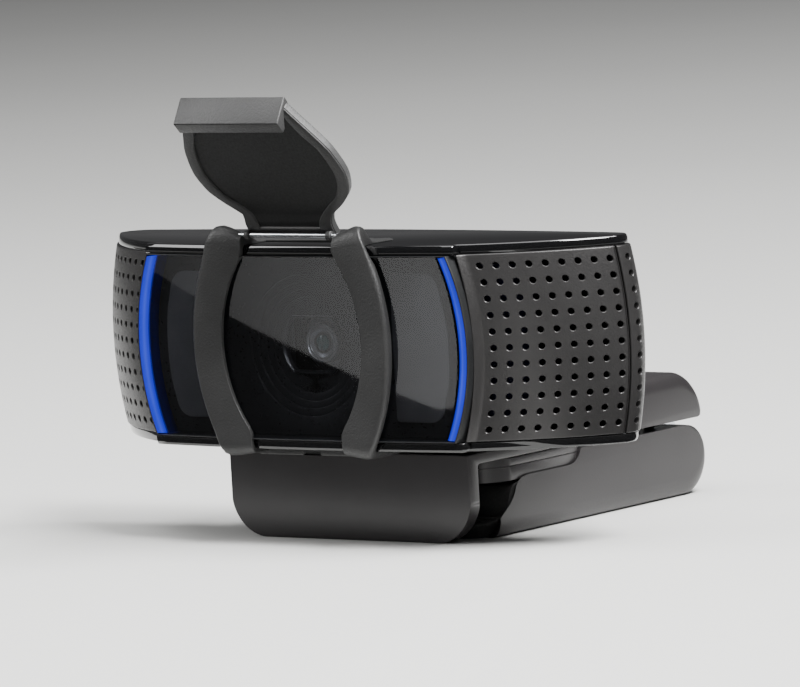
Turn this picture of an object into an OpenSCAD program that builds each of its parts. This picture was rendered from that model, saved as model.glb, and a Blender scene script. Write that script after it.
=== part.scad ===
// Webcam with a flip-up privacy shutter, on a folded monitor clip.
// Millimetres, +Z up. The lens looks along -Y. The origin is the mouth of the
// tripod thread in the underside of the folded leg, where the camera stands.
// Depths below are counted back from the middle of the front window.

/* [Head] */
// Width over the bowed ends
head_w = 94; // [90:1:98]
// Height over both gloss trims
head_h = 29; // [28:0.5:30]
// Height of the head's underside above the table
head_z = 14.3; // [14.2:0.1:14.6]
// How far each end bows outwards
end_bow = 2; // [1:0.25:2.5]
// Thickness of the gloss top and bottom trims
trim_t = 1.4; // [1.2:0.1:1.6]
// Wall of the grilles and the rear shell
shell_t = 1.4; // [1.2:0.1:1.6]
// Depth of the seam between a grille and the rear shell
seam_y = 16.8; // [16:0.2:17.4]

/* [Faceplate] */
// Half width of the faceplate bezel at mid height
bezel_x = 29.6; // [29.2:0.1:30]
// How far the faceplate's sides bow outwards
bezel_bow = 2.7; // [2:0.1:3]
// Radius of the window's curve across the face
glass_r = 220; // [180:10:300]
// Thickness of the front window
glass_t = 1.2; // [1:0.1:1.4]
// Width of a light strip
strip_w = 1.3; // [1:0.1:1.4]

/* [Lens] */
// Radius of the widest ring of the stepped surround
ring_r = 10.1; // [9.6:0.1:10.4]
// Depth of one step of the surround
ring_step = 0.4; // [0.3:0.05:0.45]
// Travel of the autofocus lens carrier
focus_travel = 0.3; // [0.1:0.05:0.3]

/* [Shutter] */
// Half gap between the two arms at their widest
arm_in = 12.45; // [12:0.05:12.8]
// Half width over the two arms
arm_out = 17.5; // [17:0.1:18]
// Thickness of the arms in front of the window
arm_t = 1.3; // [1.1:0.1:1.4]
// Half width of the open flap
flap_r = 13.65; // [13:0.05:14]
// Length of the flap from its pin to its free end
flap_len = 23.5; // [23:0.25:24]
// Angle of the open flap forward of upright
flap_lean = 39.5; // [36:0.5:42]

/* [Clip] */
// Half width of the clip
clip_x = 21.5; // [20.5:0.25:22]
// Depth of the clip's front plate behind the window
plate_y = 11; // [10.8:0.1:11.4]
// Radius of the front plate's lower corners
plate_corner = 6.5; // [5:0.5:8]
// Depth of the clip's rearmost point
clip_end = 69.7; // [69:0.1:70]
// Depth of the tripod thread
thread_y = 30; // [29:0.5:31]

/* [Hidden] */
$fn = 64;
GAP = 0.3;
EPS = 0.02;
FAR = 200;

head_mid = head_z + head_h / 2;
head_top = head_z + head_h;
core_h = head_h - 2 * trim_t;
back_y = 24.2;

// Plan of the head: the grille leaves the bezel at grille_0 and turns through
// these tangent angles, each with its own radius, until the back is square.
grille_0 = [29.2, 3.4];
turns = [[21, 55, 37.4, 10], [55, 90, 2.8, 4], [90, 174, 3.5, 6], [174, 180, 420, 3]];

strip_out = bezel_x - 0.65;
glass_x = strip_out - strip_w - 0.05;
window_h = core_h - 0.4;
mask_y = 3.2;
floor_y = mask_y + 4 * ring_step;
aperture_t = 0.7;
barrel_y = floor_y + aperture_t + 0.8 + focus_travel;
carrier_r = 4.27;
carrier_y = [8.6, 12.2];
front_lens_r = 1.8;
front_lens_end = 8.25;
inner_lens_r = 2.43;
inner_lens_y = 9.6;
ring_seat = 0.4;
ring_seat_r = 2.35;

// Depths of the parts inside the head, and where its screws and fittings are.
chassis_y = [13, 14.4];
sensor_board_y = [14.5, 15.5];
board_y = [17, 18.2];
screw_x = 24;
screw_z = [21, 37];
mic_x = 36;
gland_x = -14;
gland_z = 31;
cable_r = 1.75;

pin_y = 0.6;
pin_z = head_top + 1.45;
pin_r = 0.5;
flap_w0 = 2.8;
flap_w1 = 3.8;
knuckle_x = 8.1;

tilt_y = 27.2;
tilt_z = head_z + 0.7;
tilt_r = 2.2;
tilt_pin_r = 1.0;
tilt_half = 7;
ear_t = 3;

platform_z = [9.9, 12.7];
bar_z = [11.3, 18.4];
hinge_y = 65;
hinge_z = 5.2;
leg_top = 10.4;
leg_low = 7.7;
leg_pin_r = 1.2;
bracket_x = [15.4, 17.4];
thread_wall_r = 2.55;
insert_r = 4.5;
insert_h = 6;
arm_screw_x = 8;
arm_screw_y = [47, 60];
plate_top = bar_z[0] + 1.1;
arm_cavity_x = 19;
arm_cavity_y = [44, 67.9];
grip_x = 17;
grip_y = [41, 59];
grip_z = leg_top - 1.2;
nose_y = 16.6;
nose_r = 5;

// The S-shaped front edge of the leg, from the toe up to its low top.
leg_s = [[19.2, 1.2], [21.2, 3.4], [21.9, 5.4], [22.9, 6.9], [25.2, leg_low]];

// Moves a shape from depths behind the window to the part's own origin.
module in_frame() translate([0, -thread_y, 0]) children();

// Raises a plan outline between two heights.
module slab(z0, z1) translate([0, 0, z0]) linear_extrude(z1 - z0) children();

// Pushes a front outline (X, Z) from depth y0 to depth y1.
module pushed(y0, y1) translate([0, y1, 0]) rotate([90, 0, 0]) linear_extrude(y1 - y0) children();

// Pushes a side outline (Y, Z) from x0 to x1.
module sideways(x0, x1) translate([x0, 0, 0]) rotate([90, 0, 90]) linear_extrude(x1 - x0) children();

// A box from its low corner to its high corner.
module block(low, high) translate(low) cube(high - low);

// A round bar along X, one along Y and an upright post, from one end to the other.
module bar_x(x0, x1, y, z, r) translate([x0, y, z]) rotate([0, 90, 0]) cylinder(r = r, h = x1 - x0);
module bar_y(y0, y1, x, z, r) translate([x, y0, z]) rotate([-90, 0, 0]) cylinder(r = r, h = y1 - y0);
module post(x, y, z0, z1, r) translate([x, y, z0]) cylinder(r = r, h = z1 - z0);

module both_sides() {
    children();
    mirror([1, 0, 0]) children();
}

// Follows a run of arcs by tangent angle: each point is [x, y, angle].
function arc_run(p, a0, a1, r, n) = [
    for (i = [1:n]) let (a = a0 + (a1 - a0) * i / n)
        [p.x + r * (sin(a) - sin(a0)), p.y + r * (cos(a0) - cos(a)), a]
];
function chain(path, k = 0) = k == len(turns) ? path :
    let (t = turns[k])
        chain(concat(path, arc_run(path[len(path) - 1], t[0], t[1], t[2], t[3])), k + 1);
plan_path = chain([[grille_0.x, grille_0.y, turns[0][0]]]);
plan_scale = [(head_w / 2) / max([for (p = plan_path) p.x]), back_y / plan_path[len(plan_path) - 1].y];

// The head's plan, drawn in by inset along its own normals.
function plan_side(inset) = [
    for (p = plan_path)
        [max(0, p.x * plan_scale.x - inset * sin(p[2])), p.y * plan_scale.y + inset * cos(p[2])]
];
function mirrored(side) = [for (i = [len(side) - 2:-1:0]) [-side[i].x, side[i].y]];
module head_plan(inset = 0) polygon(concat(plan_side(inset), mirrored(plan_side(inset))));

// A front outline with straight top and bottom and bowed sides, centred.
module bowed(half_w, half_h, bow) {
    r = (half_h * half_h + bow * bow) / (2 * bow);
    intersection() {
        square([2 * half_w, 2 * half_h], center = true);
        translate([half_w - r, 0]) circle(r = r, $fn = 120);
        translate([r - half_w, 0]) circle(r = r, $fn = 120);
    }
}
module face(half_w, half_h, bow) translate([0, head_mid]) bowed(half_w, half_h, bow);

// Everything behind the window's curve, moved forward by proud.
module behind_curve(proud) {
    translate([0, glass_r - proud, head_mid])
        cylinder(r = glass_r, h = 2 * head_h, center = true, $fn = 360);
}

module head_solid(inset = 0) {
    intersection() {
        slab(head_z, head_top) head_plan(inset);
        pushed(0, FAR) face(head_w / 2 - inset, head_h / 2, end_bow);
    }
}
module head_walls() {
    intersection() {
        difference() {
            head_solid();
            head_solid(shell_t);
        }
        slab(head_z + trim_t, head_top - trim_t) square(2 * FAR, center = true);
    }
}

// ---- faceplate ----

module faceplate_bezel() color("#26282b") in_frame() {
    window = [14, 10.8];
    back = [4.9, 6.5];
    difference() {
        intersection() {
            pushed(0, back[1]) face(bezel_x, core_h / 2 - 0.05, bezel_bow);
            behind_curve(0.6);
        }
        pushed(-5, back[0]) face(strip_out + 0.03, core_h, bezel_bow * 4);
        block([-window.x, 0, head_mid - window.y], [window.x, FAR, head_mid + window.y]);
    }
}

module front_glass() color("#101214") in_frame() {
    difference() {
        intersection() {
            pushed(-1, mask_y) face(glass_x, window_h / 2, bezel_bow);
            behind_curve(0);
        }
        behind_curve(-glass_t);
    }
}

module light_strip() {
    intersection() {
        difference() {
            pushed(0, 4.8) face(strip_out, window_h / 2 - 0.3, bezel_bow);
            pushed(-1, 5) face(strip_out - strip_w, core_h, bezel_bow * 4);
        }
        behind_curve(0.1);
        block([0, -1, 0], [FAR, FAR, FAR]);
    }
}
module light_strip_right() color("#2048dd") in_frame() light_strip();
module light_strip_left() color("#2048dd") in_frame() mirror([1, 0, 0]) light_strip();

module side_panel() {
    panel_h = 21;
    panel_x = [15.5, 25.3];
    film_t = 0.25;
    intersection() {
        pushed(mask_y - film_t, mask_y) face(panel_x[1], panel_h / 2, bezel_bow * 0.7);
        block([panel_x[0], 0, 0], [FAR, FAR, FAR]);
    }
}
module side_panel_right() color("#35373a") in_frame() side_panel();
module side_panel_left() color("#35373a") in_frame() mirror([1, 0, 0]) side_panel();

module lens_surround() color("#17191b") in_frame() {
    radii = [ring_r, ring_r - 1.1, ring_r - 2.1, ring_r - 3.2];
    difference() {
        pushed(mask_y, floor_y) face(glass_x - 0.7, window_h / 2, bezel_bow);
        for (i = [0:3])
            bar_y(0, mask_y + ring_step * (i + 1) + (i == 3 ? 1 : 0), 0, head_mid, radii[i]);
    }
}

module aperture_frame() color("#1d1f21") in_frame() {
    opening_r = 5;
    opening_h = 7.5;
    difference() {
        bar_y(floor_y, floor_y + aperture_t, 0, head_mid, 8.4);
        intersection() {
            bar_y(0, 10, 0, head_mid, opening_r);
            block([-FAR, 0, head_mid - opening_h / 2], [FAR, 10, head_mid + opening_h / 2]);
        }
    }
}

// ---- shells of the head ----

module grille() {
    intersection() {
        head_walls();
        block([bezel_x + 0.1, 0, 0], [FAR, seam_y - 0.05, FAR]);
    }
}
module grille_right() color("#3b3c3e") in_frame() grille();
module grille_left() color("#3b3c3e") in_frame() mirror([1, 0, 0]) grille();

module rear_shell() color("#333436") in_frame() {
    cable_hole_r = 3.2;
    difference() {
        intersection() {
            head_walls();
            block([-FAR, seam_y + 0.05, 0], [FAR, FAR, FAR]);
        }
        bar_y(20, 26, gland_x, gland_z, cable_hole_r);
    }
}

module trim_plan() {
    flange_x = 27.4;
    head_plan();
    intersection() {
        translate([0, glass_r + 0.3]) circle(r = glass_r, $fn = 360);
        translate([-flange_x, 0]) square([2 * flange_x, 6]);
    }
}
module trim(z0) {
    intersection() {
        slab(z0, z0 + trim_t - 0.03) trim_plan();
        pushed(-1, FAR) face(head_w / 2, head_h / 2, end_bow);
    }
}
module top_trim() color("#0b0b0c") in_frame() trim(head_top - trim_t + 0.03);
module bottom_trim() color("#0b0b0c") in_frame() trim(head_z);

// ---- inside the head ----

module four_posts(y0, y1, r) {
    for (z = screw_z) both_sides() bar_y(y0, y1, screw_x, z, r);
}

module chassis() color("#4a4c4f") in_frame() {
    half = [38, 10.8];
    difference() {
        union() {
            pushed(chassis_y[0], chassis_y[1]) translate([0, head_mid]) square(2 * half, center = true);
            four_posts(chassis_y[1] - 0.1, board_y[0], 1.8);
        }
        block([-6.3, 10, head_mid - 6.3], [6.3, 16, head_mid + 6.3]);
        four_posts(10, 20, 0.85);
    }
}

module chassis_screws() color("#b9bcc0") in_frame() {
    four_posts(board_y[1], board_y[1] + 0.9, 1.5);
    four_posts(chassis_y[0], board_y[1] + 0.1, 0.8);
}

module main_board() color("#1f5c3a") in_frame() {
    difference() {
        pushed(board_y[0], board_y[1]) translate([0, head_mid]) square([60, 21], center = true);
        four_posts(10, 20, 0.85);
    }
}

module shield_can() color("#c3c6ca") in_frame() {
    can_t = 0.3;
    can = [13, 7.5];
    y1 = board_y[1] + 2.2;
    difference() {
        block([-can.x, board_y[1], head_mid - can.y], [can.x, y1, head_mid + can.y]);
        block([can_t - can.x, 0, head_mid - can.y + can_t], [can.x - can_t, y1 - can_t, head_mid + can.y - can_t]);
    }
}

module sensor_board() color("#1f5c3a") in_frame() {
    block([-11, sensor_board_y[0], head_mid - 8], [11, sensor_board_y[1], head_mid + 8]);
}

module image_sensor() color("#6d6a7a") in_frame() {
    block([-3.4, sensor_board_y[0] - 1.2, head_mid - 2.6], [3.4, sensor_board_y[0], head_mid + 2.6]);
}

module autofocus_housing() color("#2d2e30") in_frame() {
    difference() {
        block([-6, 8.2, head_mid - 6], [6, chassis_y[0], head_mid + 6]);
        bar_y(5, 20, 0, head_mid, carrier_r + 0.08);
    }
}

module status_leds() color("#9fb4ff") in_frame() {
    both_sides() {
        block([26.6, 6.55, head_mid - 3], [28.9, 7.35, head_mid + 3]);
    }
}

module microphones() color("#c8b98a") in_frame() {
    both_sides() block([mic_x - 1.9, 11.8, head_mid - 1.5], [mic_x + 1.9, chassis_y[0], head_mid + 1.5]);
}

module mic_gaskets() color("#1a1a1a") in_frame() {
    both_sides() difference() {
        bar_y(10.6, 11.8, mic_x, head_mid, 2.3);
        bar_y(10, 12, mic_x, head_mid, 0.8);
    }
}

// The cable's way out: a rubber gland with a bore for a 3.5 mm cable.
module cable_gland() color("#151515") in_frame() {
    gland_out = back_y + 4;
    difference() {
        union() {
            bar_y(21.4, gland_out, gland_x, gland_z, 3.1);
            bar_y(21.4, back_y - shell_t - 0.6, gland_x, gland_z, 4.2);
        }
        bar_y(20, 30, gland_x, gland_z, cable_r);
    }
}

// The barrel on the back of the head that the tilt pin passes through.
module tilt_knuckle() color("#2b2b2d") in_frame() {
    difference() {
        union() {
            bar_x(-tilt_half, tilt_half, tilt_y, tilt_z, tilt_r);
            block([-tilt_half, back_y + EPS, tilt_z - 1.7], [tilt_half, tilt_y, tilt_z + tilt_r]);
        }
        bar_x(-FAR, FAR, tilt_y, tilt_z, tilt_pin_r + 0.05);
    }
}

// ---- lens group, which moves to focus ----

module lens_barrel() color("#202122") in_frame() {
    barrel_r = 2.95;
    difference() {
        union() {
            bar_y(barrel_y, carrier_y[0] + 0.1, 0, head_mid, barrel_r);
            bar_y(carrier_y[0], carrier_y[1], 0, head_mid, carrier_r);
        }
        bar_y(5, barrel_y + ring_seat, 0, head_mid, ring_seat_r);
        bar_y(5, front_lens_end, 0, head_mid, front_lens_r + 0.02);
        bar_y(5, 15, 0, head_mid, 1.4);
        bar_y(inner_lens_y, 15, 0, head_mid, inner_lens_r + 0.02);
    }
}

// A lens: a disc whose front is a spherical cap.
module lens(y0, y1, r, dome_r) {
    intersection() {
        bar_y(y0, y1, 0, head_mid, r);
        translate([0, y0 + dome_r, head_mid]) sphere(r = dome_r, $fn = 96);
    }
}
module front_lens() color("#3f7f86") in_frame() lens(barrel_y + 0.15, front_lens_end, front_lens_r, 4.2);
module inner_lens() color("#5b6f8c") in_frame() lens(inner_lens_y, inner_lens_y + 1.6, inner_lens_r, 8);

module lens_retainer() color("#55575a") in_frame() {
    difference() {
        bar_y(barrel_y, barrel_y + ring_seat - 0.02, 0, head_mid, ring_seat_r - 0.02);
        bar_y(5, 8, 0, head_mid, 1.5);
    }
}

// ---- shutter ----

// One arm seen from the front: a crescent with a straight inner edge at its ends.
module arm_outline() {
    half_h = 12.5;
    in_bow = arm_in - knuckle_x;
    out_bow = 2.9;
    in_r = (half_h * half_h + in_bow * in_bow) / (2 * in_bow);
    out_r = (13 * 13 + out_bow * out_bow) / (2 * out_bow);
    arm_mid = head_mid + 0.7;
    difference() {
        intersection() {
            translate([arm_out - out_r, arm_mid]) circle(r = out_r, $fn = 120);
            translate([knuckle_x, head_z - 1.1]) square([20, head_h + 2.2]);
        }
        translate([arm_in - in_r, arm_mid]) circle(r = in_r, $fn = 120);
    }
}

module shutter_arm() {
    top_strap = [head_top + 0.1, head_top + 1.1];
    low_strap = [head_z - 1.1, head_z - 0.1];
    strap_out = 12.6;
    intersection() {
        difference() {
            pushed(-4, 5) arm_outline();
            behind_curve(0.05);
        }
        behind_curve(arm_t + 0.05);
    }
    intersection() {
        union() {
            block([knuckle_x, -3, top_strap[0]], [strap_out, 8.5, top_strap[1]]);
            block([knuckle_x, -3, low_strap[0]], [strap_out, 7, low_strap[1]]);
        }
        behind_curve(arm_t + 0.05);
    }
    bar_x(knuckle_x, strap_out, pin_y, pin_z, pin_z - head_top - 0.1);
    block([knuckle_x, -1.1, top_strap[0]], [strap_out, pin_y, pin_z]);
}

module shutter_frame() color("#1e1f20") in_frame() {
    difference() {
        union() {
            both_sides() shutter_arm();
            block([-9, 5.6, head_top + 0.1], [9, 8.5, head_top + 0.6]);
            block([-9, 3, head_z - 1.1], [9, 7, head_z - 0.1]);
        }
        bar_x(-11.6, 11.6, pin_y, pin_z, pin_r);
    }
}

module shutter_pin() color("#d5d8dc") in_frame() bar_x(-11.5, 11.5, pin_y, pin_z, pin_r);

// The flap is drawn hanging closed, with its pin at the origin, then swung open.
module flap_outline() {
    union() {
        intersection() {
            translate([0, -9.8]) circle(r = flap_r, $fn = 96);
            translate([-20, -22]) square([40, 22.4]);
        }
        translate([-7.75, -5]) square([15.5, 6.8]);
        translate([-9.2, -flap_len + 1]) square([18.4, 5]);
    }
}
module flap_lip() {
    sideways(-9.3, 9.3) polygon([
        [-flap_w1, -flap_len], [-0.9, 1.9 - flap_len], [-1.1, 3.5 - flap_len],
        [-flap_w0 - 0.2, 1.65 - flap_len], [-flap_w1, 1.65 - flap_len]
    ]);
}
module flap_ear() {
    ear_x = [6.9, 7.75];
    difference() {
        union() {
            bar_x(ear_x[0], ear_x[1], 0, 0, 1.15);
            block([ear_x[0], -flap_w0 - 0.1, -1.1], [ear_x[1], 0, 1.1]);
        }
        bar_x(0, 20, 0, 0, pin_r + 0.05);
    }
}
module shutter_flap() color("#222324") in_frame() {
    translate([0, pin_y, pin_z]) rotate([flap_lean - 180, 0, 0]) {
        pushed(-flap_w1, -flap_w0) flap_outline();
        flap_lip();
        both_sides() flap_ear();
    }
}

// ---- clip: upper arm ----

module bar_outline() {
    end_r = bar_z[1] - bar_z[0];
    polygon(concat(
        [[31.5, platform_z[0]], [31.5, 13], [40.5, bar_z[1]]],
        [for (a = [90:-10:0]) [clip_end - end_r + end_r * cos(a), bar_z[0] + end_r * sin(a)]],
        [[38.6, bar_z[0]], [37.9, platform_z[0]]]
    ));
}

module front_plate_outline() {
    top = platform_z[1];
    difference() {
        translate([-clip_x, 0]) square([2 * clip_x, top]);
        both_sides() translate([clip_x - plate_corner, 0]) difference() {
            translate([0, -1]) square([plate_corner + 1, plate_corner + 1]);
            translate([0, plate_corner]) circle(r = plate_corner);
        }
    }
}

module arm_cavity() {
    x = arm_cavity_x;
    step_y = 64;
    block([-x, arm_cavity_y[0], 0], [x, step_y, bar_z[1] - 1.8]);
    block([-x, step_y - 1, 0], [x, arm_cavity_y[1], plate_top + 2.2]);
}

module tilt_ear() {
    x0 = tilt_half + GAP;
    bar_x(x0, x0 + ear_t, tilt_y, tilt_z, tilt_r);
    block([x0, tilt_y - tilt_r, platform_z[0] + 1], [x0 + ear_t, tilt_y + tilt_r, tilt_z]);
}

module clip_arm() color("#2e2d2e") in_frame() {
    plate_t = 2.3;
    difference() {
        union() {
            pushed(plate_y, plate_y + plate_t) front_plate_outline();
            block([-clip_x, plate_y, platform_z[0]], [clip_x, 37.9, platform_z[1]]);
            sideways(-clip_x, clip_x) bar_outline();
            both_sides() tilt_ear();
        }
        arm_cavity();
        bar_x(-FAR, FAR, tilt_y, tilt_z, tilt_pin_r);
    }
    both_sides() for (y = arm_screw_y) difference() {
        post(arm_screw_x, y, plate_top, bar_z[1] - 1.7, 1.9);
        post(arm_screw_x, y, 0, bar_z[1] - 3, 0.85);
    }
}

module arm_bottom_plate() color("#262627") in_frame() {
    fit = 0.05;
    x = arm_cavity_x - fit;
    difference() {
        block([-x, arm_cavity_y[0] + fit, bar_z[0]], [x, arm_cavity_y[1] - fit, plate_top]);
        both_sides() {
            block([bracket_x[0] - fit, 62, 0], [bracket_x[1] + fit, 68, 20]);
            for (y = arm_screw_y) {
                post(arm_screw_x, y, 0, 20, 0.9);
                post(arm_screw_x, y, 0, bar_z[0] + 0.55, 1.6);
            }
        }
    }
}

module arm_screws() color("#b0b3b7") in_frame() {
    both_sides() for (y = arm_screw_y) {
        post(arm_screw_x, y, bar_z[0], bar_z[0] + 0.55, 1.5);
        post(arm_screw_x, y, bar_z[0], bar_z[1] - 3.3, 0.8);
    }
}

module platform_pad() color("#1b1b1b") in_frame() {
    half = clip_x - 0.7;
    end_y = 36.9;
    pad_z = [8, platform_z[0]];
    round_r = (pad_z[1] - pad_z[0]) / 2;
    block([-half, 15.6, pad_z[0]], [half, end_y, pad_z[1]]);
    bar_x(-half, half, end_y, pad_z[0] + round_r, round_r);
}

module jaw_pad() color("#161616") in_frame() {
    block([-18, plate_y + 2.3, 1.6], [18, 15.3, platform_z[0] - 0.1]);
}

module hinge_brackets() color("#c9ccd0") in_frame() {
    foot_x = 12.6;
    both_sides() difference() {
        union() {
            bar_x(bracket_x[0], bracket_x[1], hinge_y, hinge_z, 3.2);
            block([bracket_x[0], hinge_y - 2.6, hinge_z], [bracket_x[1], hinge_y + 2.6, plate_top + 1.05]);
            block([foot_x, hinge_y - 2.6, plate_top + 0.05], [bracket_x[1], hinge_y + 2.6, plate_top + 1.05]);
        }
        bar_x(0, FAR, hinge_y, hinge_z, leg_pin_r + 0.05);
    }
}

module tilt_pin() color("#c2c5c9") in_frame() {
    out = tilt_half + GAP + ear_t;
    bar_x(-out, out, tilt_y, tilt_z, tilt_pin_r);
    both_sides() bar_x(out, out + 0.6, tilt_y, tilt_z, 1.6);
}

module tilt_washers() color("#8d9094") in_frame() {
    both_sides() difference() {
        bar_x(tilt_half + 0.1, tilt_half + GAP, tilt_y, tilt_z, 2);
        bar_x(0, FAR, tilt_y, tilt_z, tilt_pin_r + 0.03);
    }
}

// ---- clip: folded leg ----

module leg_outline() {
    polygon(concat(
        [[nose_y, 0], [nose_y - 0.5, 1.2]],
        leg_s,
        [[36.6, leg_low], [38, 8.1], [38.5, 9], [38.7, leg_top]],
        [for (a = [90:-10:-90]) [hinge_y + hinge_z * cos(a), hinge_z + hinge_z * sin(a)]]
    ));
}

// The leg seen from above, with rounded corners at its nose.
module leg_plan() {
    front = nose_y - 1;
    half = clip_x + 1;
    centre_x = clip_x - nose_r;
    corner = [
        for (a = [270:10:350]) [centre_x + nose_r * cos(a), front + nose_r + nose_r * sin(a)]
    ];
    right = concat(corner, [[clip_x, front + nose_r], [half, front + nose_r + 1], [half, FAR]]);
    polygon(concat(right, [for (i = [len(right) - 1:-1:0]) [-right[i].x, right[i].y]]));
}

module leg_shell() color("#333233") in_frame() {
    pin_x = 19.7;
    well = 2;
    difference() {
        intersection() {
            sideways(-clip_x, clip_x) leg_outline();
            slab(-1, 20) leg_plan();
        }
        both_sides()
            block([bracket_x[0] - GAP, hinge_y - 3.6, -1], [bracket_x[1] + GAP, FAR, 20]);
        bar_x(-pin_x, pin_x, hinge_y, hinge_z, leg_pin_r);
        block([-grip_x, grip_y[0], grip_z], [grip_x, grip_y[1], 20]);
        block([well - grip_x, grip_y[0] + well, 2], [grip_x - well, grip_y[1] - well, 20]);
        post(0, thread_y, -1, insert_h, insert_r);
    }
}

module leg_hinge_pin() color("#d0d3d7") in_frame() bar_x(-19.6, 19.6, hinge_y, hinge_z, leg_pin_r);

module leg_nose_pad() color("#141414") in_frame() {
    intersection() {
        sideways(EPS - clip_x, clip_x - EPS) polygon(concat(
            leg_s,
            [[17, leg_low], [16.1, 6.8], [15.9, 2.4], [16.1, 1.2]]
        ));
        slab(-1, 20) leg_plan();
    }
}

module leg_grip_pad() color("#1a1a1a") in_frame() {
    x = grip_x - EPS;
    block([-x, grip_y[0] + EPS, grip_z], [x, grip_y[1] - EPS, leg_top - 0.1]);
}

// Brass insert with a 1/4 inch 20 thread, drawn at its tapping size.
module tripod_insert() color("#b98f4a") in_frame() {
    difference() {
        post(0, thread_y, 0, insert_h, insert_r);
        post(0, thread_y, -1, insert_h - 0.5, thread_wall_r);
    }
}

faceplate_bezel();
front_glass();
light_strip_left();
light_strip_right();
side_panel_left();
side_panel_right();
lens_surround();
aperture_frame();
grille_left();
grille_right();
top_trim();
bottom_trim();
rear_shell();
chassis();
chassis_screws();
main_board();
shield_can();
sensor_board();
image_sensor();
autofocus_housing();
status_leds();
microphones();
mic_gaskets();
cable_gland();
tilt_knuckle();
shutter_frame();
shutter_pin();
shutter_flap();
lens_barrel();
front_lens();
inner_lens();
lens_retainer();
clip_arm();
arm_bottom_plate();
arm_screws();
platform_pad();
jaw_pad();
hinge_brackets();
tilt_pin();
tilt_washers();
leg_shell();
leg_hinge_pin();
leg_nose_pad();
leg_grip_pad();
tripod_insert();
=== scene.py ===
import math

import bmesh
import bpy
import numpy as np
from mathutils import Matrix, Vector


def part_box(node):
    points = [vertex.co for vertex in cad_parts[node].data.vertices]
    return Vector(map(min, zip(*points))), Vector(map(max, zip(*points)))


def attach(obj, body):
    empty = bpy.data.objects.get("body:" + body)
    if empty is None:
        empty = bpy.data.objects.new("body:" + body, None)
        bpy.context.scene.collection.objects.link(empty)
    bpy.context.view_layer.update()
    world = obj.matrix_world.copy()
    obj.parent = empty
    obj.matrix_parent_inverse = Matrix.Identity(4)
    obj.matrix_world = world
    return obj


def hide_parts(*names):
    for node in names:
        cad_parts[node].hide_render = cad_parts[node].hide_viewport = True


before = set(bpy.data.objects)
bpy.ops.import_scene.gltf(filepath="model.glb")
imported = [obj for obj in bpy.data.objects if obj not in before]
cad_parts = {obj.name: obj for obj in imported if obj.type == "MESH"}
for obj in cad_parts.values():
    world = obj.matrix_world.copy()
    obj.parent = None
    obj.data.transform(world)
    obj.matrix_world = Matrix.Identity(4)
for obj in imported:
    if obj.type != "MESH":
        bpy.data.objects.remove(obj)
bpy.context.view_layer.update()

# ---------------------------------------------------------------------------
# Sizes. Everything below is in millimetres: x to the right, y back from the
# middle of the front window, z up from the table. to_row() turns a point into
# the shared frame, in metres.
# ---------------------------------------------------------------------------
MM = 0.001


def box_mm(node):
    """Low and high corner of a CAD node's box, in the shared frame and in millimetres."""
    low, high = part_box(node)
    return np.array(low) / MM, np.array(high) / MM


WINDOW_Y = box_mm("front_glass")[0][1]


def to_row(points):
    moved = np.asarray(points, float) + np.array([0.0, WINDOW_Y, 0.0])
    return moved * MM


def node_box(node):
    """The same box, with y counted back from the window's front."""
    low, high = box_mm(node)
    shift = np.array([0.0, WINDOW_Y, 0.0])
    return low - shift, high - shift


HEAD_X = node_box("rear_shell")[1][0]
HEAD_Z0 = node_box("bottom_trim")[0][2]
HEAD_Z1 = node_box("top_trim")[1][2]
HEAD_MID = (HEAD_Z0 + HEAD_Z1) / 2
HALF_H = (HEAD_Z1 - HEAD_Z0) / 2
BACK_Y = node_box("rear_shell")[1][1]
SEAM_Y = node_box("grille_right")[1][1]
TRIM_T = HEAD_Z1 - node_box("top_trim")[0][2]
CORE_HALF = HALF_H - TRIM_T - 0.02
SHELL_T = 1.4
# Radius of the window's curve across the face.
WINDOW_R = 220.0

BEZEL_X = node_box("faceplate_bezel")[1][0]
BEZEL_BOW = 2.7
END_BOW = 2.0
GLASS_X = node_box("front_glass")[1][0]
WINDOW_HALF = (node_box("front_glass")[1][2] - node_box("front_glass")[0][2]) / 2
GLASS_T = 1.2
# How far the rim stands in front of the window.
RIM_PROUD = 0.36
BEZEL_BACK = 6.4
STRIP_OUT = BEZEL_X - 0.32
STRIP_IN = GLASS_X + 0.1
# Where the trims' flange over the window ends.
FLANGE_X = 27.4

CLIP_X = node_box("clip_arm")[1][0]
PLATE_Y = node_box("clip_arm")[0][1]
PLATE_T = 2.3
PLATFORM_TOP = 12.7
BAR_BOTTOM = node_box("arm_bottom_plate")[0][2]
BAR_TOP = node_box("clip_arm")[1][2]
CLIP_END = node_box("clip_arm")[1][1]
HINGE_Y, HINGE_Z = (sum(v) / 2 for v in zip(*(b[1:] for b in node_box("leg_hinge_pin"))))
LEG_TOP = node_box("leg_shell")[1][2]
LEG_R = LEG_TOP - HINGE_Z
PIN_Y, PIN_Z = (sum(v) / 2 for v in zip(*(b[1:] for b in node_box("shutter_pin"))))
PIN_R = 0.38


def window_curve(x):
    """Depth of the window's front at x: a gentle arc across the face."""
    return WINDOW_R - np.sqrt(WINDOW_R ** 2 - np.asarray(x, float) ** 2)


# ---------------------------------------------------------------------------
# Mesh tools. A shape is (points, faces).
# ---------------------------------------------------------------------------
def merge(*shapes):
    """Several shapes as one."""
    points = []
    faces = []
    for shape_points, shape_faces in shapes:
        start = len(points)
        points.extend([tuple(p) for p in shape_points])
        faces.extend([tuple(i + start for i in f) for f in shape_faces])
    return points, faces


def mirrored(shape):
    """The shape on the other side of the head."""
    points, faces = shape
    return [(-p[0], p[1], p[2]) for p in points], [tuple(reversed(f)) for f in faces]


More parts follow.
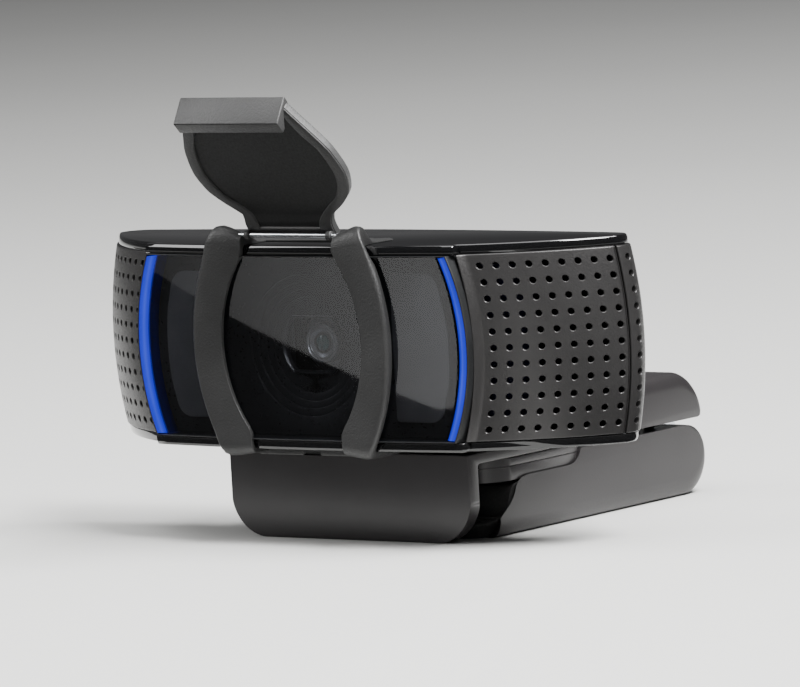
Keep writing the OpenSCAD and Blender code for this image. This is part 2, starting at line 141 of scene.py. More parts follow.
def loft(rings, caps=True):
    """Skins a list of rings that all have the same number of points."""
    rings = np.asarray(rings, float)
    count = rings.shape[1]
    faces = []
    for r in range(len(rings) - 1):
        for i in range(count):
            j = (i + 1) % count
            low = r * count
            faces.append((low + i, low + j, low + count + j, low + count + i))
    if caps:
        faces.append(tuple(reversed(range(count))))
        faces.append(tuple(range((len(rings) - 1) * count, len(rings) * count)))
    return rings.reshape(-1, 3), faces


def close_hoop(shape, count):
    """Joins an open loft's last ring, of count points, back to its first."""
    points, faces = shape
    last = len(points) - count
    for i in range(count):
        j = (i + 1) % count
        faces.append((i, last + i, last + j, j))
    return points, faces


def outline_normals(outline):
    """Outward normal, with its mitre, at each point of a closed outline."""
    p = np.asarray(outline, float)
    back = p - np.roll(p, 1, 0)
    ahead = np.roll(p, -1, 0) - p
    n0 = np.stack([back[:, 1], -back[:, 0]], 1)
    n1 = np.stack([ahead[:, 1], -ahead[:, 0]], 1)
    n0 /= np.maximum(np.linalg.norm(n0, axis=1, keepdims=True), 1e-9)
    n1 /= np.maximum(np.linalg.norm(n1, axis=1, keepdims=True), 1e-9)
    n = n0 + n1
    n /= np.maximum(np.linalg.norm(n, axis=1, keepdims=True), 1e-9)
    mitre = 1 / np.clip((n * n0).sum(1, keepdims=True), 0.5, 1)
    area = 0.5 * np.sum(p[:, 0] * np.roll(p[:, 1], -1) - np.roll(p[:, 0], -1) * p[:, 1])
    return n * mitre * (1 if area > 0 else -1)


def inset(outline, distance):
    return np.asarray(outline, float) - outline_normals(outline) * distance


AXES = {"x": (1, 2, 0), "y": (0, 2, 1), "z": (0, 1, 2)}


def lift(outline, depth, axis):
    """Puts a flat outline at a depth along an axis."""
    a, b, c = AXES[axis]
    points = np.zeros((len(outline), 3))
    points[:, a] = np.asarray(outline)[:, 0]
    points[:, b] = np.asarray(outline)[:, 1]
    points[:, c] = depth
    return points


def plate(outline, low, high, axis, round_low=(0.0, 0.0), round_high=(0.0, 0.0), steps=4):
    """A slab with rounded rims. Each round is (how far in, how far along the axis)."""
    rings = []
    if round_low[0] > 0:
        for k in range(steps):
            a = math.pi / 2 * k / steps
            edge = inset(outline, round_low[0] * (1 - math.sin(a)))
            rings.append(lift(edge, low + round_low[1] * (1 - math.cos(a)), axis))
    rings.append(lift(outline, low + round_low[1], axis))
    rings.append(lift(outline, high - round_high[1], axis))
    if round_high[0] > 0:
        for k in range(1, steps + 1):
            a = math.pi / 2 * k / steps
            edge = inset(outline, round_high[0] * (1 - math.cos(a)))
            rings.append(lift(edge, high - round_high[1] * (1 - math.sin(a)), axis))
    return loft(rings)


def arc(centre, radius, start, end, steps):
    """Points of an arc, in degrees, both ends included."""
    angles = np.radians(np.linspace(start, end, steps + 1))
    return [(centre[0] + radius * math.cos(a), centre[1] + radius * math.sin(a)) for a in angles]


def rounded(corners, steps=6):
    """A closed outline whose corners (x, y, radius) are filleted."""
    outline = []
    count = len(corners)
    for i, (x, y, radius) in enumerate(corners):
        here = np.array([x, y])
        before = np.array(corners[i - 1][:2]) - here
        after = np.array(corners[(i + 1) % count][:2]) - here
        before_n = before / np.linalg.norm(before)
        after_n = after / np.linalg.norm(after)
        half = math.acos(float(np.clip(before_n @ after_n, -1, 1))) / 2
        if radius <= 0 or half > math.pi / 2 - 0.01:
            outline.append(tuple(here))
            continue
        reach = radius / math.tan(half)
        middle = before_n + after_n
        centre = here + middle / np.linalg.norm(middle) * radius / math.sin(half)
        p0 = here + before_n * reach - centre
        p1 = here + after_n * reach - centre
        a0 = math.atan2(p0[1], p0[0])
        turn = (math.atan2(p1[1], p1[0]) - a0 + math.pi) % (2 * math.pi) - math.pi
        for k in range(steps + 1):
            a = a0 + turn * k / steps
            outline.append(tuple(centre + radius * np.array([math.cos(a), math.sin(a)])))
    return outline


def turned(profile, axis, centre, steps=96, caps=True):
    """A lathe shape: profile is (radius, place along the axis)."""
    rings = []
    a = np.linspace(0, 2 * math.pi, steps, endpoint=False)
    u, v, w = AXES[axis]
    for radius, along in profile:
        ring = np.zeros((steps, 3))
        ring[:, u] = centre[0] + radius * np.cos(a)
        ring[:, v] = centre[1] + radius * np.sin(a)
        ring[:, w] = along
        rings.append(ring)
    return loft(rings, caps)


def box_shape(low, high):
    outline = [(low[0], low[1]), (high[0], low[1]), (high[0], high[1]), (low[0], high[1])]
    return plate(outline, low[2], high[2], "z")


def smooth_curve(knots, count):
    """A smooth curve through a few (place, value) knots, without overshoot."""
    k = np.array(knots, float)
    x, y = k[:, 0], k[:, 1]
    h = np.diff(x)
    d = np.diff(y) / h
    m = np.zeros(len(x))
    m[0], m[-1] = d[0], d[-1]
    for i in range(1, len(x) - 1):
        if d[i - 1] * d[i] > 0:
            w1, w2 = 2 * h[i] + h[i - 1], h[i] + 2 * h[i - 1]
            m[i] = (w1 + w2) / (w1 / d[i - 1] + w2 / d[i])
    at = np.linspace(x[0], x[-1], count)
    i = np.clip(np.searchsorted(x, at) - 1, 0, len(x) - 2)
    t = (at - x[i]) / h[i]
    value = (
        (1 + 2 * t) * (1 - t) ** 2 * y[i]
        + t * (1 - t) ** 2 * h[i] * m[i]
        + t * t * (3 - 2 * t) * y[i + 1]
        + t * t * (t - 1) * h[i] * m[i + 1]
    )
    return at, value


def make_object(name, shape):
    """A mesh object in the shared frame, its normals facing out."""
    mesh = bpy.data.meshes.new(name)
    points, faces = shape
    mesh.from_pydata([tuple(p) for p in to_row(points)], [], [tuple(f) for f in faces])
    obj = bpy.data.objects.new(name, mesh)
    bpy.context.scene.collection.objects.link(obj)
    edit = bmesh.new()
    edit.from_mesh(mesh)
    bmesh.ops.recalc_face_normals(edit, faces=edit.faces)
    edit.to_mesh(mesh)
    edit.free()
    return obj


def cut(obj, *shapes):
    """Cuts closed shapes out of an object."""
    for shape in shapes:
        tool = make_object("cutter", shape)
        step = obj.modifiers.new("cut", "BOOLEAN")
        step.operation = "DIFFERENCE"
        step.solver = "EXACT"
        step.object = tool
        graph = bpy.context.evaluated_depsgraph_get()
        mesh = bpy.data.meshes.new_from_object(obj.evaluated_get(graph))
        obj.modifiers.clear()
        old = obj.data
        obj.data = mesh
        bpy.data.meshes.remove(old)
        tool_mesh = tool.data
        bpy.data.objects.remove(tool)
        bpy.data.meshes.remove(tool_mesh)
    return obj


def soften(obj, width, angle=40, segments=2):
    """Rounds the sharp edges of an object by a width in millimetres."""
    edit = bmesh.new()
    edit.from_mesh(obj.data)
    bmesh.ops.dissolve_limit(
        edit, angle_limit=math.radians(0.5), verts=edit.verts, edges=edit.edges
    )
    sharp = [
        e for e in edit.edges
        if len(e.link_faces) == 2 and e.calc_face_angle(0) > math.radians(angle)
    ]
    bmesh.ops.bevel(
        edit, geom=sharp, offset=width * MM, segments=segments, profile=0.5,
        affect="EDGES", clamp_overlap=True,
    )
    edit.to_mesh(obj.data)
    edit.free()
    return obj


def finish_piece(obj, body, material, stands_for, smooth=38):
    """Gives a piece its material and shading, its body, and the CAD nodes it replaces."""
    mesh = obj.data
    mesh.name = obj.name
    for polygon in mesh.polygons:
        polygon.use_smooth = True
    mesh.set_sharp_from_angle(angle=math.radians(smooth))
    mesh.materials.clear()
    mesh.materials.append(material)
    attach(obj, body)
    if stands_for:
        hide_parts(*stands_for)
    return obj


def piece(name, shape, body, material, stands_for=(), smooth=38):
    return finish_piece(make_object(name, shape), body, material, stands_for, smooth)


# ---------------------------------------------------------------------------
# Materials
# ---------------------------------------------------------------------------
def srgb(code):
    """A linear colour from an sRGB hex code."""
    parts = [int(code[i:i + 2], 16) / 255 for i in (1, 3, 5)]
    linear = [p / 12.92 if p <= 0.04045 else ((p + 0.055) / 1.055) ** 2.4 for p in parts]
    return (*linear, 1.0)


def add(tree, kind, inputs=None, **settings):
    """Adds a node with its settings. An input is a value, or another node's socket to link."""
    node = tree.nodes.new(kind)
    for key, value in settings.items():
        setattr(node, key, value)
    for key, value in (inputs or {}).items():
        socket = node.inputs[key]
        if isinstance(value, bpy.types.NodeSocket):
            tree.links.new(value, socket)
        else:
            socket.default_value = value
    return node


def new_material(name):
    material = bpy.data.materials.new(name)
    material.use_nodes = True
    material.node_tree.nodes.clear()
    return material, material.node_tree


def ramp(tree, value, low, high, start=0.0, end=1.0):
    node = add(tree, "ShaderNodeValToRGB", {"Fac": value})
    node.color_ramp.elements[0].position = start
    node.color_ramp.elements[1].position = end
    node.color_ramp.elements[0].color = low
    node.color_ramp.elements[1].color = high
    return node.outputs["Color"]


def grain_of(tree, size_mm, detail=2.0):
    """Noise whose cells are size_mm across."""
    place = add(tree, "ShaderNodeTexCoord")
    noise = add(
        tree, "ShaderNodeTexNoise",
        {"Vector": place.outputs["Object"], "Scale": 1 / (size_mm * MM),
         "Detail": detail, "Roughness": 0.5},
    )
    return noise.outputs["Fac"]


# ABS and most mouldings. It is also the value that a metal keeps.
PLASTIC_IOR = 1.5


def finish_material(
    name, dark, light, roughness, spread=0.05, metallic=0.0, coat=0.0,
    patch_mm=9.0, grain_mm=0.3, depth_mm=0.0, grain_detail=2.0,
):
    """Colour drifts between dark and light over patches; the grain drives the roughness and the bump."""
    material, tree = new_material(name)
    patch = grain_of(tree, patch_mm, 3.0)
    grain = grain_of(tree, grain_mm, grain_detail)
    colour = ramp(tree, patch, srgb(dark), srgb(light), 0.3, 0.7)
    rough = add(
        tree, "ShaderNodeMapRange",
        {"Value": grain, "From Min": 0.3, "From Max": 0.7,
         "To Min": max(0.02, roughness - spread), "To Max": roughness + spread},
    )
    inputs = {
        "Base Color": colour, "Roughness": rough.outputs["Result"],
        "Metallic": metallic, "IOR": PLASTIC_IOR, "Coat Weight": coat,
    }
    if depth_mm > 0:
        bump = add(tree, "ShaderNodeBump", {"Height": grain, "Distance": depth_mm * MM, "Strength": 1.0})
        inputs["Normal"] = bump.outputs["Normal"]
    shader = add(tree, "ShaderNodeBsdfPrincipled", inputs)
    add(tree, "ShaderNodeOutputMaterial", {"Surface": shader.outputs["BSDF"]})
    return material


# Metallic gunmetal paint over moulded ABS: satin, with an even sparkle.
# Its 0.03 mm flake is drawn at 0.28 mm.
GUNMETAL = finish_material(
    "gunmetal_satin_paint", "#353434", "#3d3c3c", 0.36, 0.07, metallic=0.6,
    patch_mm=14, grain_mm=0.28, depth_mm=0.028,
)
# Piano-black ABS, polished mould and clear coat: sharp reflections with a little haze.
PIANO = finish_material(
    "piano_black_abs", "#070708", "#0a0a0b", 0.06, 0.025, coat=0.5, patch_mm=12, grain_mm=2.5,
)
# Spark-eroded ABS of the shutter: matt black, rough to the eye. Its 0.15 mm pits are drawn at 0.3 mm.
SHUTTER = finish_material(
    "spark_eroded_black_abs", "#1f1f1f", "#272727", 0.46, 0.07, patch_mm=8, grain_mm=0.3, depth_mm=0.06,
    grain_detail=3,
)
# Smooth matt black inside of the flap, so that no light bounces at the lens.
FLAP_INSIDE = finish_material(
    "matt_black_liner_abs", "#050505", "#080808", 0.6, 0.06, patch_mm=6, grain_mm=0.3, depth_mm=0.01,
)
# Moulded polycarbonate of the clip: satin dark grey with a fine mould texture.
CLIP = finish_material(
    "satin_grey_polycarbonate", "#242223", "#2b292a", 0.34, 0.05, patch_mm=16, grain_mm=0.25, depth_mm=0.012,
)
# The same dark moulding, finely textured, for the window's rim.
RIM = finish_material(
    "fine_textured_rim_abs", "#0e0f10", "#161719", 0.5, 0.08, patch_mm=5, grain_mm=0.28, depth_mm=0.03,
)
# Moulded black nitrile rubber: soft, no gloss, a little dusty.
RUBBER = finish_material(
    "moulded_nitrile_rubber", "#151515", "#1d1d1d", 0.78, 0.08, patch_mm=6, grain_mm=0.35, depth_mm=0.02,
)
# Matt black ink and mouldings behind the window.
MASK = finish_material(
    "matt_black_mask", "#121213", "#181819", 0.32, 0.06, patch_mm=6, grain_mm=0.5, depth_mm=0.004,
)
# Screen-printed dark grey film behind the window.
FILM = finish_material(
    "screen_printed_grey_film", "#464647", "#4f4f50", 0.5, 0.06, patch_mm=8, grain_mm=0.4, depth_mm=0.006,
)
# Black-anodised turned aluminium of the lens ring: satin with soft glints.
ANODISED = finish_material(
    "black_anodised_aluminium", "#8c8e91", "#9c9ea1", 0.3, 0.05, metallic=0.9, patch_mm=3, grain_mm=0.15,
)
# Ground and polished stainless pin and brackets.
STEEL = finish_material(
    "polished_stainless_steel", "#c9ccd0", "#d6d8db", 0.14, 0.05, metallic=1.0, patch_mm=3, grain_mm=0.3,
)
# Machined brass thread insert.
BRASS = finish_material(
    "machined_brass", "#b08d4c", "#c39c55", 0.26, 0.06, metallic=1.0, patch_mm=3, grain_mm=0.3,
)
# Solder-masked circuit board.
BOARD = finish_material(
    "green_solder_mask", "#12452b", "#1a5a39", 0.3, 0.06, patch_mm=4, grain_mm=0.6, depth_mm=0.01,
)
# Natural glass-filled nylon chassis.
NYLON = finish_material(
    "glass_filled_nylon", "#3f4143", "#4b4d50", 0.6, 0.08, patch_mm=7, grain_mm=0.4, depth_mm=0.02,
)


WINDOW_F0 = 0.028


def smoked_window_material():
    """Hard-coated smoked acrylic: dims what is behind it and mirrors the room softly."""
    material, tree = new_material("smoked_acrylic_window")
    haze = grain_of(tree, 6.0, 3.0)
    rough = add(
        tree, "ShaderNodeMapRange",
        {"Value": haze, "From Min": 0.3, "From Max": 0.7, "To Min": 0.015, "To Max": 0.035},
    )
    tint = ramp(tree, haze, srgb("#cfd0d3"), srgb("#d6d7da"), 0.3, 0.7)
    clear = add(tree, "ShaderNodeBsdfTransparent", {"Color": tint})
    gloss = add(
        tree, "ShaderNodeBsdfAnisotropic", {"Color": srgb("#ffffff"), "Roughness": rough.outputs["Result"]},
    )
    # Schlick's curve, since the pane's front is all that mirrors.
    facing = add(tree, "ShaderNodeLayerWeight", {"Blend": 0.5})
    fifth = add(tree, "ShaderNodeMath", {0: facing.outputs["Facing"], 1: 5.0}, operation="POWER")
    mirror = add(
        tree, "ShaderNodeMapRange", {"Value": fifth.outputs["Value"], "To Min": WINDOW_F0, "To Max": 0.9},
    )
    mixed = add(
        tree, "ShaderNodeMixShader",
        {0: mirror.outputs["Result"], 1: clear.outputs["BSDF"], 2: gloss.outputs["BSDF"]},
    )
    add(tree, "ShaderNodeOutputMaterial", {"Surface": mixed.outputs["Shader"]})
    return material


def coated_back_material():
    """The window's anti-reflection back: the same smoked tint and no mirror."""
    material, tree = new_material("coated_smoked_acrylic")
    haze = grain_of(tree, 6.0, 3.0)
    tint = ramp(tree, haze, srgb("#cfd0d3"), srgb("#d6d7da"), 0.3, 0.7)
    clear = add(tree, "ShaderNodeBsdfTransparent", {"Color": tint})
    add(tree, "ShaderNodeOutputMaterial", {"Surface": clear.outputs["BSDF"]})
    return material


def light_pipe_material():
    """Blue-lit acrylic light pipe: brighter along its middle, deeper blue at its edges."""
    material, tree = new_material("blue_lit_acrylic")
    across = add(tree, "ShaderNodeAttribute", attribute_name="across")
    flow = grain_of(tree, 5.0, 1.0)
    colour = add(tree, "ShaderNodeValToRGB", {"Fac": across.outputs["Fac"]})
    stops = colour.color_ramp
    stops.elements[0].color = srgb("#000104")
    stops.elements[1].color = srgb("#000104")
    for place, code in (
        (0.08, "#000104"), (0.1, "#1a1fcc"), (0.34, "#2430f0"), (0.52, "#4658ff"), (0.7, "#2430f0"),
        (0.9, "#1a1fcc"), (0.92, "#000104"),
    ):
        stops.elements.new(place).color = srgb(code)
    strength = add(
        tree, "ShaderNodeMapRange",
        {"Value": flow, "From Min": 0.3, "From Max": 0.7, "To Min": 0.58, "To Max": 0.68},
    )
    shader = add(
        tree, "ShaderNodeBsdfPrincipled",
        {"Base Color": srgb("#0c1a6b"), "Roughness": 0.2, "IOR": 1.49,
         "Emission Color": colour.outputs["Color"], "Emission Strength": strength.outputs["Result"]},
    )
    add(tree, "ShaderNodeOutputMaterial", {"Surface": shader.outputs["BSDF"]})
    return material


def coated_lens_material():
    """Multi-coated lens glass: near black, with the coating's own teal sheen painted into its colour by
    viewing angle, violet at the edge.
    """
    material, tree = new_material("coated_lens_glass_painted_glint")
    # Painted reflection: the coating's teal and violet glint is drawn into the base colour from the facing
    # angle and a noise.
    facing = add(tree, "ShaderNodeLayerWeight", {"Blend": 0.35})
    swirl = grain_of(tree, 1.1, 2.0)
    amount = add(
        tree, "ShaderNodeMath",
        {0: facing.outputs["Facing"], 1: swirl}, operation="MULTIPLY",
    )
    colour = add(tree, "ShaderNodeValToRGB", {"Fac": amount.outputs["Value"]})
    stops = colour.color_ramp
    stops.elements[0].color = srgb("#1d4a48")
    stops.elements[1].color = srgb("#2a2733")
    stops.elements.new(0.2).color = srgb("#23393d")
    shader = add(
        tree, "ShaderNodeBsdfPrincipled",
        {"Base Color": colour.outputs["Color"], "Roughness": 0.03, "IOR": 1.7, "Coat Weight": 1.0},
    )
    add(tree, "ShaderNodeOutputMaterial", {"Surface": shader.outputs["BSDF"]})
    return material


WINDOW = smoked_window_material()
WINDOW_BACK = coated_back_material()
PIPE = light_pipe_material()
LENS = coated_lens_material()

# ---------------------------------------------------------------------------
# Head: plan curve and its bowed surface
# ---------------------------------------------------------------------------
PLAN_START = (29.2, 3.4)
PLAN_TURNS = [(21, 55, 37.4, 60), (55, 90, 2.8, 16), (90, 174, 3.5, 26), (174, 180, 420, 24)]


def plan_curve():
    """Points (x, y, tangent angle) of the head's plan, from the grille's front edge to mid back."""
    x, y = PLAN_START
    path = [(x, y, PLAN_TURNS[0][0])]
    for a0, a1, radius, steps in PLAN_TURNS:
        x0, y0 = path[-1][:2]
        for k in range(1, steps + 1):
            a = a0 + (a1 - a0) * k / steps
            dx = radius * (math.sin(math.radians(a)) - math.sin(math.radians(a0)))
            dy = radius * (math.cos(math.radians(a0)) - math.cos(math.radians(a)))
            path.append((x0 + dx, y0 + dy, a))
    path = np.array(path)
    path[:, 0] *= HEAD_X / path[:, 0].max()
    path[:, 1] *= BACK_Y / path[-1, 1]
    path[-1, 0] = 0.0
    return path


PLAN = plan_curve()
PLAN_S = np.concatenate([[0], np.cumsum(np.linalg.norm(np.diff(PLAN[:, :2], axis=0), axis=1))])
S_END = PLAN_S[-1]
S_WIDEST = PLAN_S[int(np.argmax(PLAN[:, 0]))]


def plan_at(s):
    """x, y and outward normal of the plan at length s. Past mid back it runs on, mirrored."""
    s = np.asarray(s, float)
    folded = np.where(s > S_END, 2 * S_END - s, s)
    side = np.where(s > S_END, -1.0, 1.0)
    x = np.interp(folded, PLAN_S, PLAN[:, 0])
    y = np.interp(folded, PLAN_S, PLAN[:, 1])
    a = np.radians(np.interp(folded, PLAN_S, PLAN[:, 2]))
    return x * side, y, np.sin(a) * side, -np.cos(a)


def bow_at(x, y):
    """How far the plan is drawn in at the head's very top, by place."""
    ax = np.abs(x)
    front = BEZEL_BOW + (END_BOW - BEZEL_BOW) * (ax - PLAN_START[0]) / (HEAD_X - PLAN_START[0])
    back = END_BOW * ax / HEAD_X
    return np.where(y < SEAM_Y, np.where(ax < PLAN_START[0], BEZEL_BOW * ax / PLAN_START[0], front), back)


# The grille's front edge flares forward, to meet the window's rim.
FLARE = 0.85
FLARE_LENGTH = 1.15
FLARE_END = 0.5 + FLARE_LENGTH


def head_surface(s, z, depth):
    """The head's bowed side, depth millimetres in from its outer face."""
    x, y, nx, ny = plan_at(s)
    flare = np.clip((FLARE_END - np.asarray(s, float)) / FLARE_LENGTH, 0, None)
    y = y - FLARE * flare ** 2
    u = (np.asarray(z, float) - HEAD_MID) / HALF_H
    out_x = x - np.sign(x) * bow_at(x, y) * u ** 2 - nx * depth
    return np.stack([out_x, y - ny * depth, np.asarray(z, float) + 0 * out_x], 1)


def s_at_x(x):
    """Length along the grille at which the plan reaches x."""
    front = PLAN_S <= S_WIDEST
    return float(np.interp(x, PLAN[front, 0], PLAN_S[front]))


def s_at_y(y):
    return float(np.interp(y, PLAN[:, 1], PLAN_S))


# ---------------------------------------------------------------------------
# Perforated sheets: a grid of cells, some with a chamfered round hole
# ---------------------------------------------------------------------------
CELL_SIDE = 4
HOLE_R = 0.465
HOLE_CHAMFER = 0.09
EDGE_ROUND = 0.16


def cell_edge(x0, x1, y0, y1):
    """Points round a cell, from its low corner, anticlockwise."""
    steps = np.arange(CELL_SIDE) / CELL_SIDE
    run = [(x0 + (x1 - x0) * t, y0) for t in steps]
    run += [(x1, y0 + (y1 - y0) * t) for t in steps]
    run += [(x1 - (x1 - x0) * t, y1) for t in steps]
    run += [(x0, y1 - (y1 - y0) * t) for t in steps]
    return run


def perforated(columns, rows, holed, surface, thickness):
    """A closed sheet over cells set by their column and row edges.

    holed(i, j) says which cells have a hole.
    """
    keys = {}
    params = []
    faces = []
    s_low, s_high, z_low, z_high = columns[0], columns[-1], rows[0], rows[-1]

    def point(s, z, depth):
        key = (round(s, 4), round(z, 4), round(depth, 4))
        if key not in keys:
            keys[key] = len(params)
            params.append(key)
        return keys[key]

    def outer(s, z):
        near = min(s - s_low, s_high - s, z - z_low, z_high - z)
        return point(s, z, max(0.0, EDGE_ROUND - near) ** 2 / EDGE_ROUND)

    def inner(s, z):
        return point(s, z, thickness)

    for i in range(len(columns) - 1):
        for j in range(len(rows) - 1):
            x0, x1, y0, y1 = columns[i], columns[i + 1], rows[j], rows[j + 1]
            if holed(i, j):
                edge = cell_edge(x0, x1, y0, y1)
                cx, cy = (x0 + x1) / 2, (y0 + y1) / 2
                count = len(edge)
                angles = [math.radians(225 + 360 * k / count) for k in range(count)]
                loops = [[outer(*p) for p in edge]]
                for radius, depth in (
                    (HOLE_R + HOLE_CHAMFER, 0.0), (HOLE_R, HOLE_CHAMFER), (HOLE_R, thickness),
                ):
                    loops.append([
                        point(cx + radius * math.cos(a), cy + radius * math.sin(a), depth) for a in angles
                    ])
                loops.append([inner(*p) for p in edge])
                for a, b in zip(loops, loops[1:]):
                    for k in range(count):
                        n = (k + 1) % count
                        faces.append((a[k], a[n], b[n], b[k]))
                continue
            xs = np.linspace(x0, x1, CELL_SIDE + 1)
            ys = np.linspace(y0, y1, CELL_SIDE + 1)
            for a in range(CELL_SIDE):
                for b in range(CELL_SIDE):
                    corners = [
                        (xs[a], ys[b]), (xs[a + 1], ys[b]), (xs[a + 1], ys[b + 1]), (xs[a], ys[b + 1]),
                    ]
                    faces.append(tuple(outer(*c) for c in corners))
                    faces.append(tuple(inner(*c) for c in reversed(corners)))
    # The four edges of the sheet are closed by walls.
    def fine(edges):
        cells = zip(edges, edges[1:])
        return sorted({round(v, 4) for a, b in cells for v in np.linspace(a, b, CELL_SIDE + 1)})

    fine_s, fine_z = fine(columns), fine(rows)
    for z in (z_low, z_high):
        for a, b in zip(fine_s, fine_s[1:]):
            faces.append((outer(a, z), outer(b, z), inner(b, z), inner(a, z)))
    for s in (s_low, s_high):
        for a, b in zip(fine_z, fine_z[1:]):
            faces.append((outer(s, a), outer(s, b), inner(s, b), inner(s, a)))
    p = np.array(params)
    return surface(p[:, 0], p[:, 1], p[:, 2]), faces


HOLE_ROWS = 11
HOLE_PITCH_Z = 2.29
HOLE_PITCH_S = 2.26
FIRST_HOLE_X = 31.85
HOLE_COLUMNS = 9


def row_edges():
    half = HOLE_ROWS * HOLE_PITCH_Z / 2
    inner = [HEAD_MID - half + HOLE_PITCH_Z * j for j in range(HOLE_ROWS + 1)]
    low, high = HEAD_MID - CORE_HALF, HEAD_MID + CORE_HALF
    return [low, low + EDGE_ROUND] + inner + [high - EDGE_ROUND, high]


ROWS = row_edges()
ROW_HOLES = range(2, 2 + HOLE_ROWS)


def grille_shape():
    s0 = s_at_x(BEZEL_X + 0.08)
    s1 = s_at_y(SEAM_Y - 0.04)
    first = s_at_x(FIRST_HOLE_X) - HOLE_PITCH_S / 2
    count = HOLE_COLUMNS
    holes = [first + HOLE_PITCH_S * i for i in range(count + 1)]
    columns = [s0, s0 + EDGE_ROUND, (s0 + first) / 2] + holes + [s1 - EDGE_ROUND, s1]
    hole_columns = range(3, 3 + count)
    return perforated(
        columns, ROWS, lambda i, j: i in hole_columns and j in ROW_HOLES, head_surface, SHELL_T
    )


def rear_shell_shape():
    s0 = s_at_y(SEAM_Y + 0.1)
    first = s0 + 0.45
    lead = [s0, s0 + EDGE_ROUND, first, first + HOLE_PITCH_S]
    plain = np.linspace(first + HOLE_PITCH_S, 2 * S_END - first - HOLE_PITCH_S, 42)[1:-1]
    tail = [2 * S_END - s for s in reversed(lead)]
    columns = lead + list(plain) + tail
    hole_columns = (2, len(columns) - 4)
    return perforated(
        columns, ROWS, lambda i, j: i in hole_columns and j in ROW_HOLES, head_surface, SHELL_T
    )


def build_shells():
    right = grille_shape()
    piece("grille_right_perforated", right, "head", GUNMETAL, ["grille_right"])
    piece("grille_left_perforated", mirrored(right), "head", GUNMETAL, ["grille_left"])
    rear = make_object("rear_shell_perforated", rear_shell_shape())
    gland_low, gland_high = node_box("cable_gland")
    gland = ((gland_low[0] + gland_high[0]) / 2, (gland_low[2] + gland_high[2]) / 2)
    cut(rear, turned([(3.2, BACK_Y - 4), (3.2, BACK_Y + 4)], "y", gland, 48))
    finish_piece(rear, "head", GUNMETAL, ["rear_shell"])


def trim_outline():
    """The gloss trims' plan: the head's plan at its top, with a proud flange over the window."""
    x, y = PLAN[:, 0], PLAN[:, 1]
    side = [(float(a - bow_at(a, b)), float(b)) for a, b in zip(x[:-1], y[:-1])]
    flange = [(v, float(window_curve(v)) + 0.3) for v in np.linspace(0, FLANGE_X, 15)[1:]]
    step = [(FLANGE_X + 0.25, float(window_curve(FLANGE_X)) + 0.75), (FLANGE_X + 0.3, side[0][1] - 0.1)]
    half = flange + step + side[::2] + [side[-1]]
    return [(0.0, 0.3)] + half + [(0.0, BACK_Y)] + [(-a, b) for a, b in reversed(half)]


def build_trims():
    outline = trim_outline()
    edge = (0.34, 1.05)
    small = (0.16, 0.16)
    top = plate(outline, HEAD_Z1 - TRIM_T, HEAD_Z1, "z", small, edge, 6)
    low = plate(outline, HEAD_Z0, HEAD_Z0 + TRIM_T, "z", edge, small, 6)
    piece("top_trim_gloss", top, "head", PIANO, ["top_trim"], 50)
    piece("bottom_trim_gloss", low, "head", PIANO, ["bottom_trim"], 50)


# ---------------------------------------------------------------------------
# Faceplate
# ---------------------------------------------------------------------------
def face_edge_x(half_w, bow, dz):
    """Half width of a bowed face at a height dz from its middle."""
    r = (WINDOW_HALF ** 2 + bow ** 2) / (2 * bow)
    return half_w - r + np.sqrt(r * r - np.asarray(dz, float) ** 2)


def face_outline(half_w, half_h, bow, steps=24):
    """A closed outline with bowed sides and straight top and bottom, anticlockwise from low right."""
    up = np.linspace(-half_h, half_h, steps, endpoint=False)
    right = [(float(face_edge_x(half_w, bow, d)), HEAD_MID + d) for d in up]
    top_x = float(face_edge_x(half_w, bow, half_h))
    top = [(v, HEAD_MID + half_h) for v in np.linspace(top_x, -top_x, steps, endpoint=False)]
    left = [(-float(face_edge_x(half_w, bow, d)), HEAD_MID + d) for d in -up]
    low = [(v, HEAD_MID - half_h) for v in np.linspace(-top_x, top_x, steps, endpoint=False)]
    return right + top + left + low


def on_window(outline, offset):
    """Lays a front outline on the window's curve, offset millimetres behind it."""
    p = np.array(outline)
    return np.stack([p[:, 0], window_curve(p[:, 0]) + offset, p[:, 1]], 1)


def at_depth(outline, depth):
    p = np.array(outline)
    return np.stack([p[:, 0], np.full(len(p), depth), p[:, 1]], 1)


def build_bezel():
    top = CORE_HALF - 0.05
    outer = face_outline(BEZEL_X, top, BEZEL_BOW)
    inner = face_outline(STRIP_OUT + 0.02, top - 0.12, BEZEL_BOW)
    rings = [
        at_depth(outer, BEZEL_BACK),
        on_window(outer, 0.15 - RIM_PROUD),
        on_window(face_outline(BEZEL_X - 0.04, top, BEZEL_BOW), 0.05 - RIM_PROUD),
        on_window(face_outline(BEZEL_X - 0.1, top, BEZEL_BOW), -RIM_PROUD),
        on_window(face_outline(STRIP_OUT + 0.07, top - 0.08, BEZEL_BOW), -RIM_PROUD),
        on_window(inner, 0.08 - RIM_PROUD),
        at_depth(inner, 5.2),
        at_depth(inner, BEZEL_BACK),
    ]
    rim = close_hoop(loft(rings, caps=False), len(rings[0]))
    piece("window_rim", rim, "head", RIM, ["faceplate_bezel"])


def sheet_on_window(half_w, half_h, bow, front, back):
    """A curved pane between two offsets behind the window's curve."""
    rings = []
    for dz in np.linspace(-half_h, half_h, 28):
        edge = float(face_edge_x(half_w, bow, dz))
        xs = np.linspace(-edge, edge, 72)
        across = [(x, float(window_curve(x)) + front, HEAD_MID + dz) for x in xs]
        behind = [(x, float(window_curve(x)) + back, HEAD_MID + dz) for x in xs[::-1]]
        rings.append(across + behind)
    return loft(rings)


def build_window():
    pane = sheet_on_window(GLASS_X, WINDOW_HALF, BEZEL_BOW, 0.0, GLASS_T)
    obj = piece("front_window", pane, "head", WINDOW, ["front_glass"], 30)
    # The back and the edges are coated against reflections.
    obj.data.materials.append(WINDOW_BACK)
    for polygon in obj.data.polygons:
        if polygon.normal.y > -0.9:
            polygon.material_index = 1


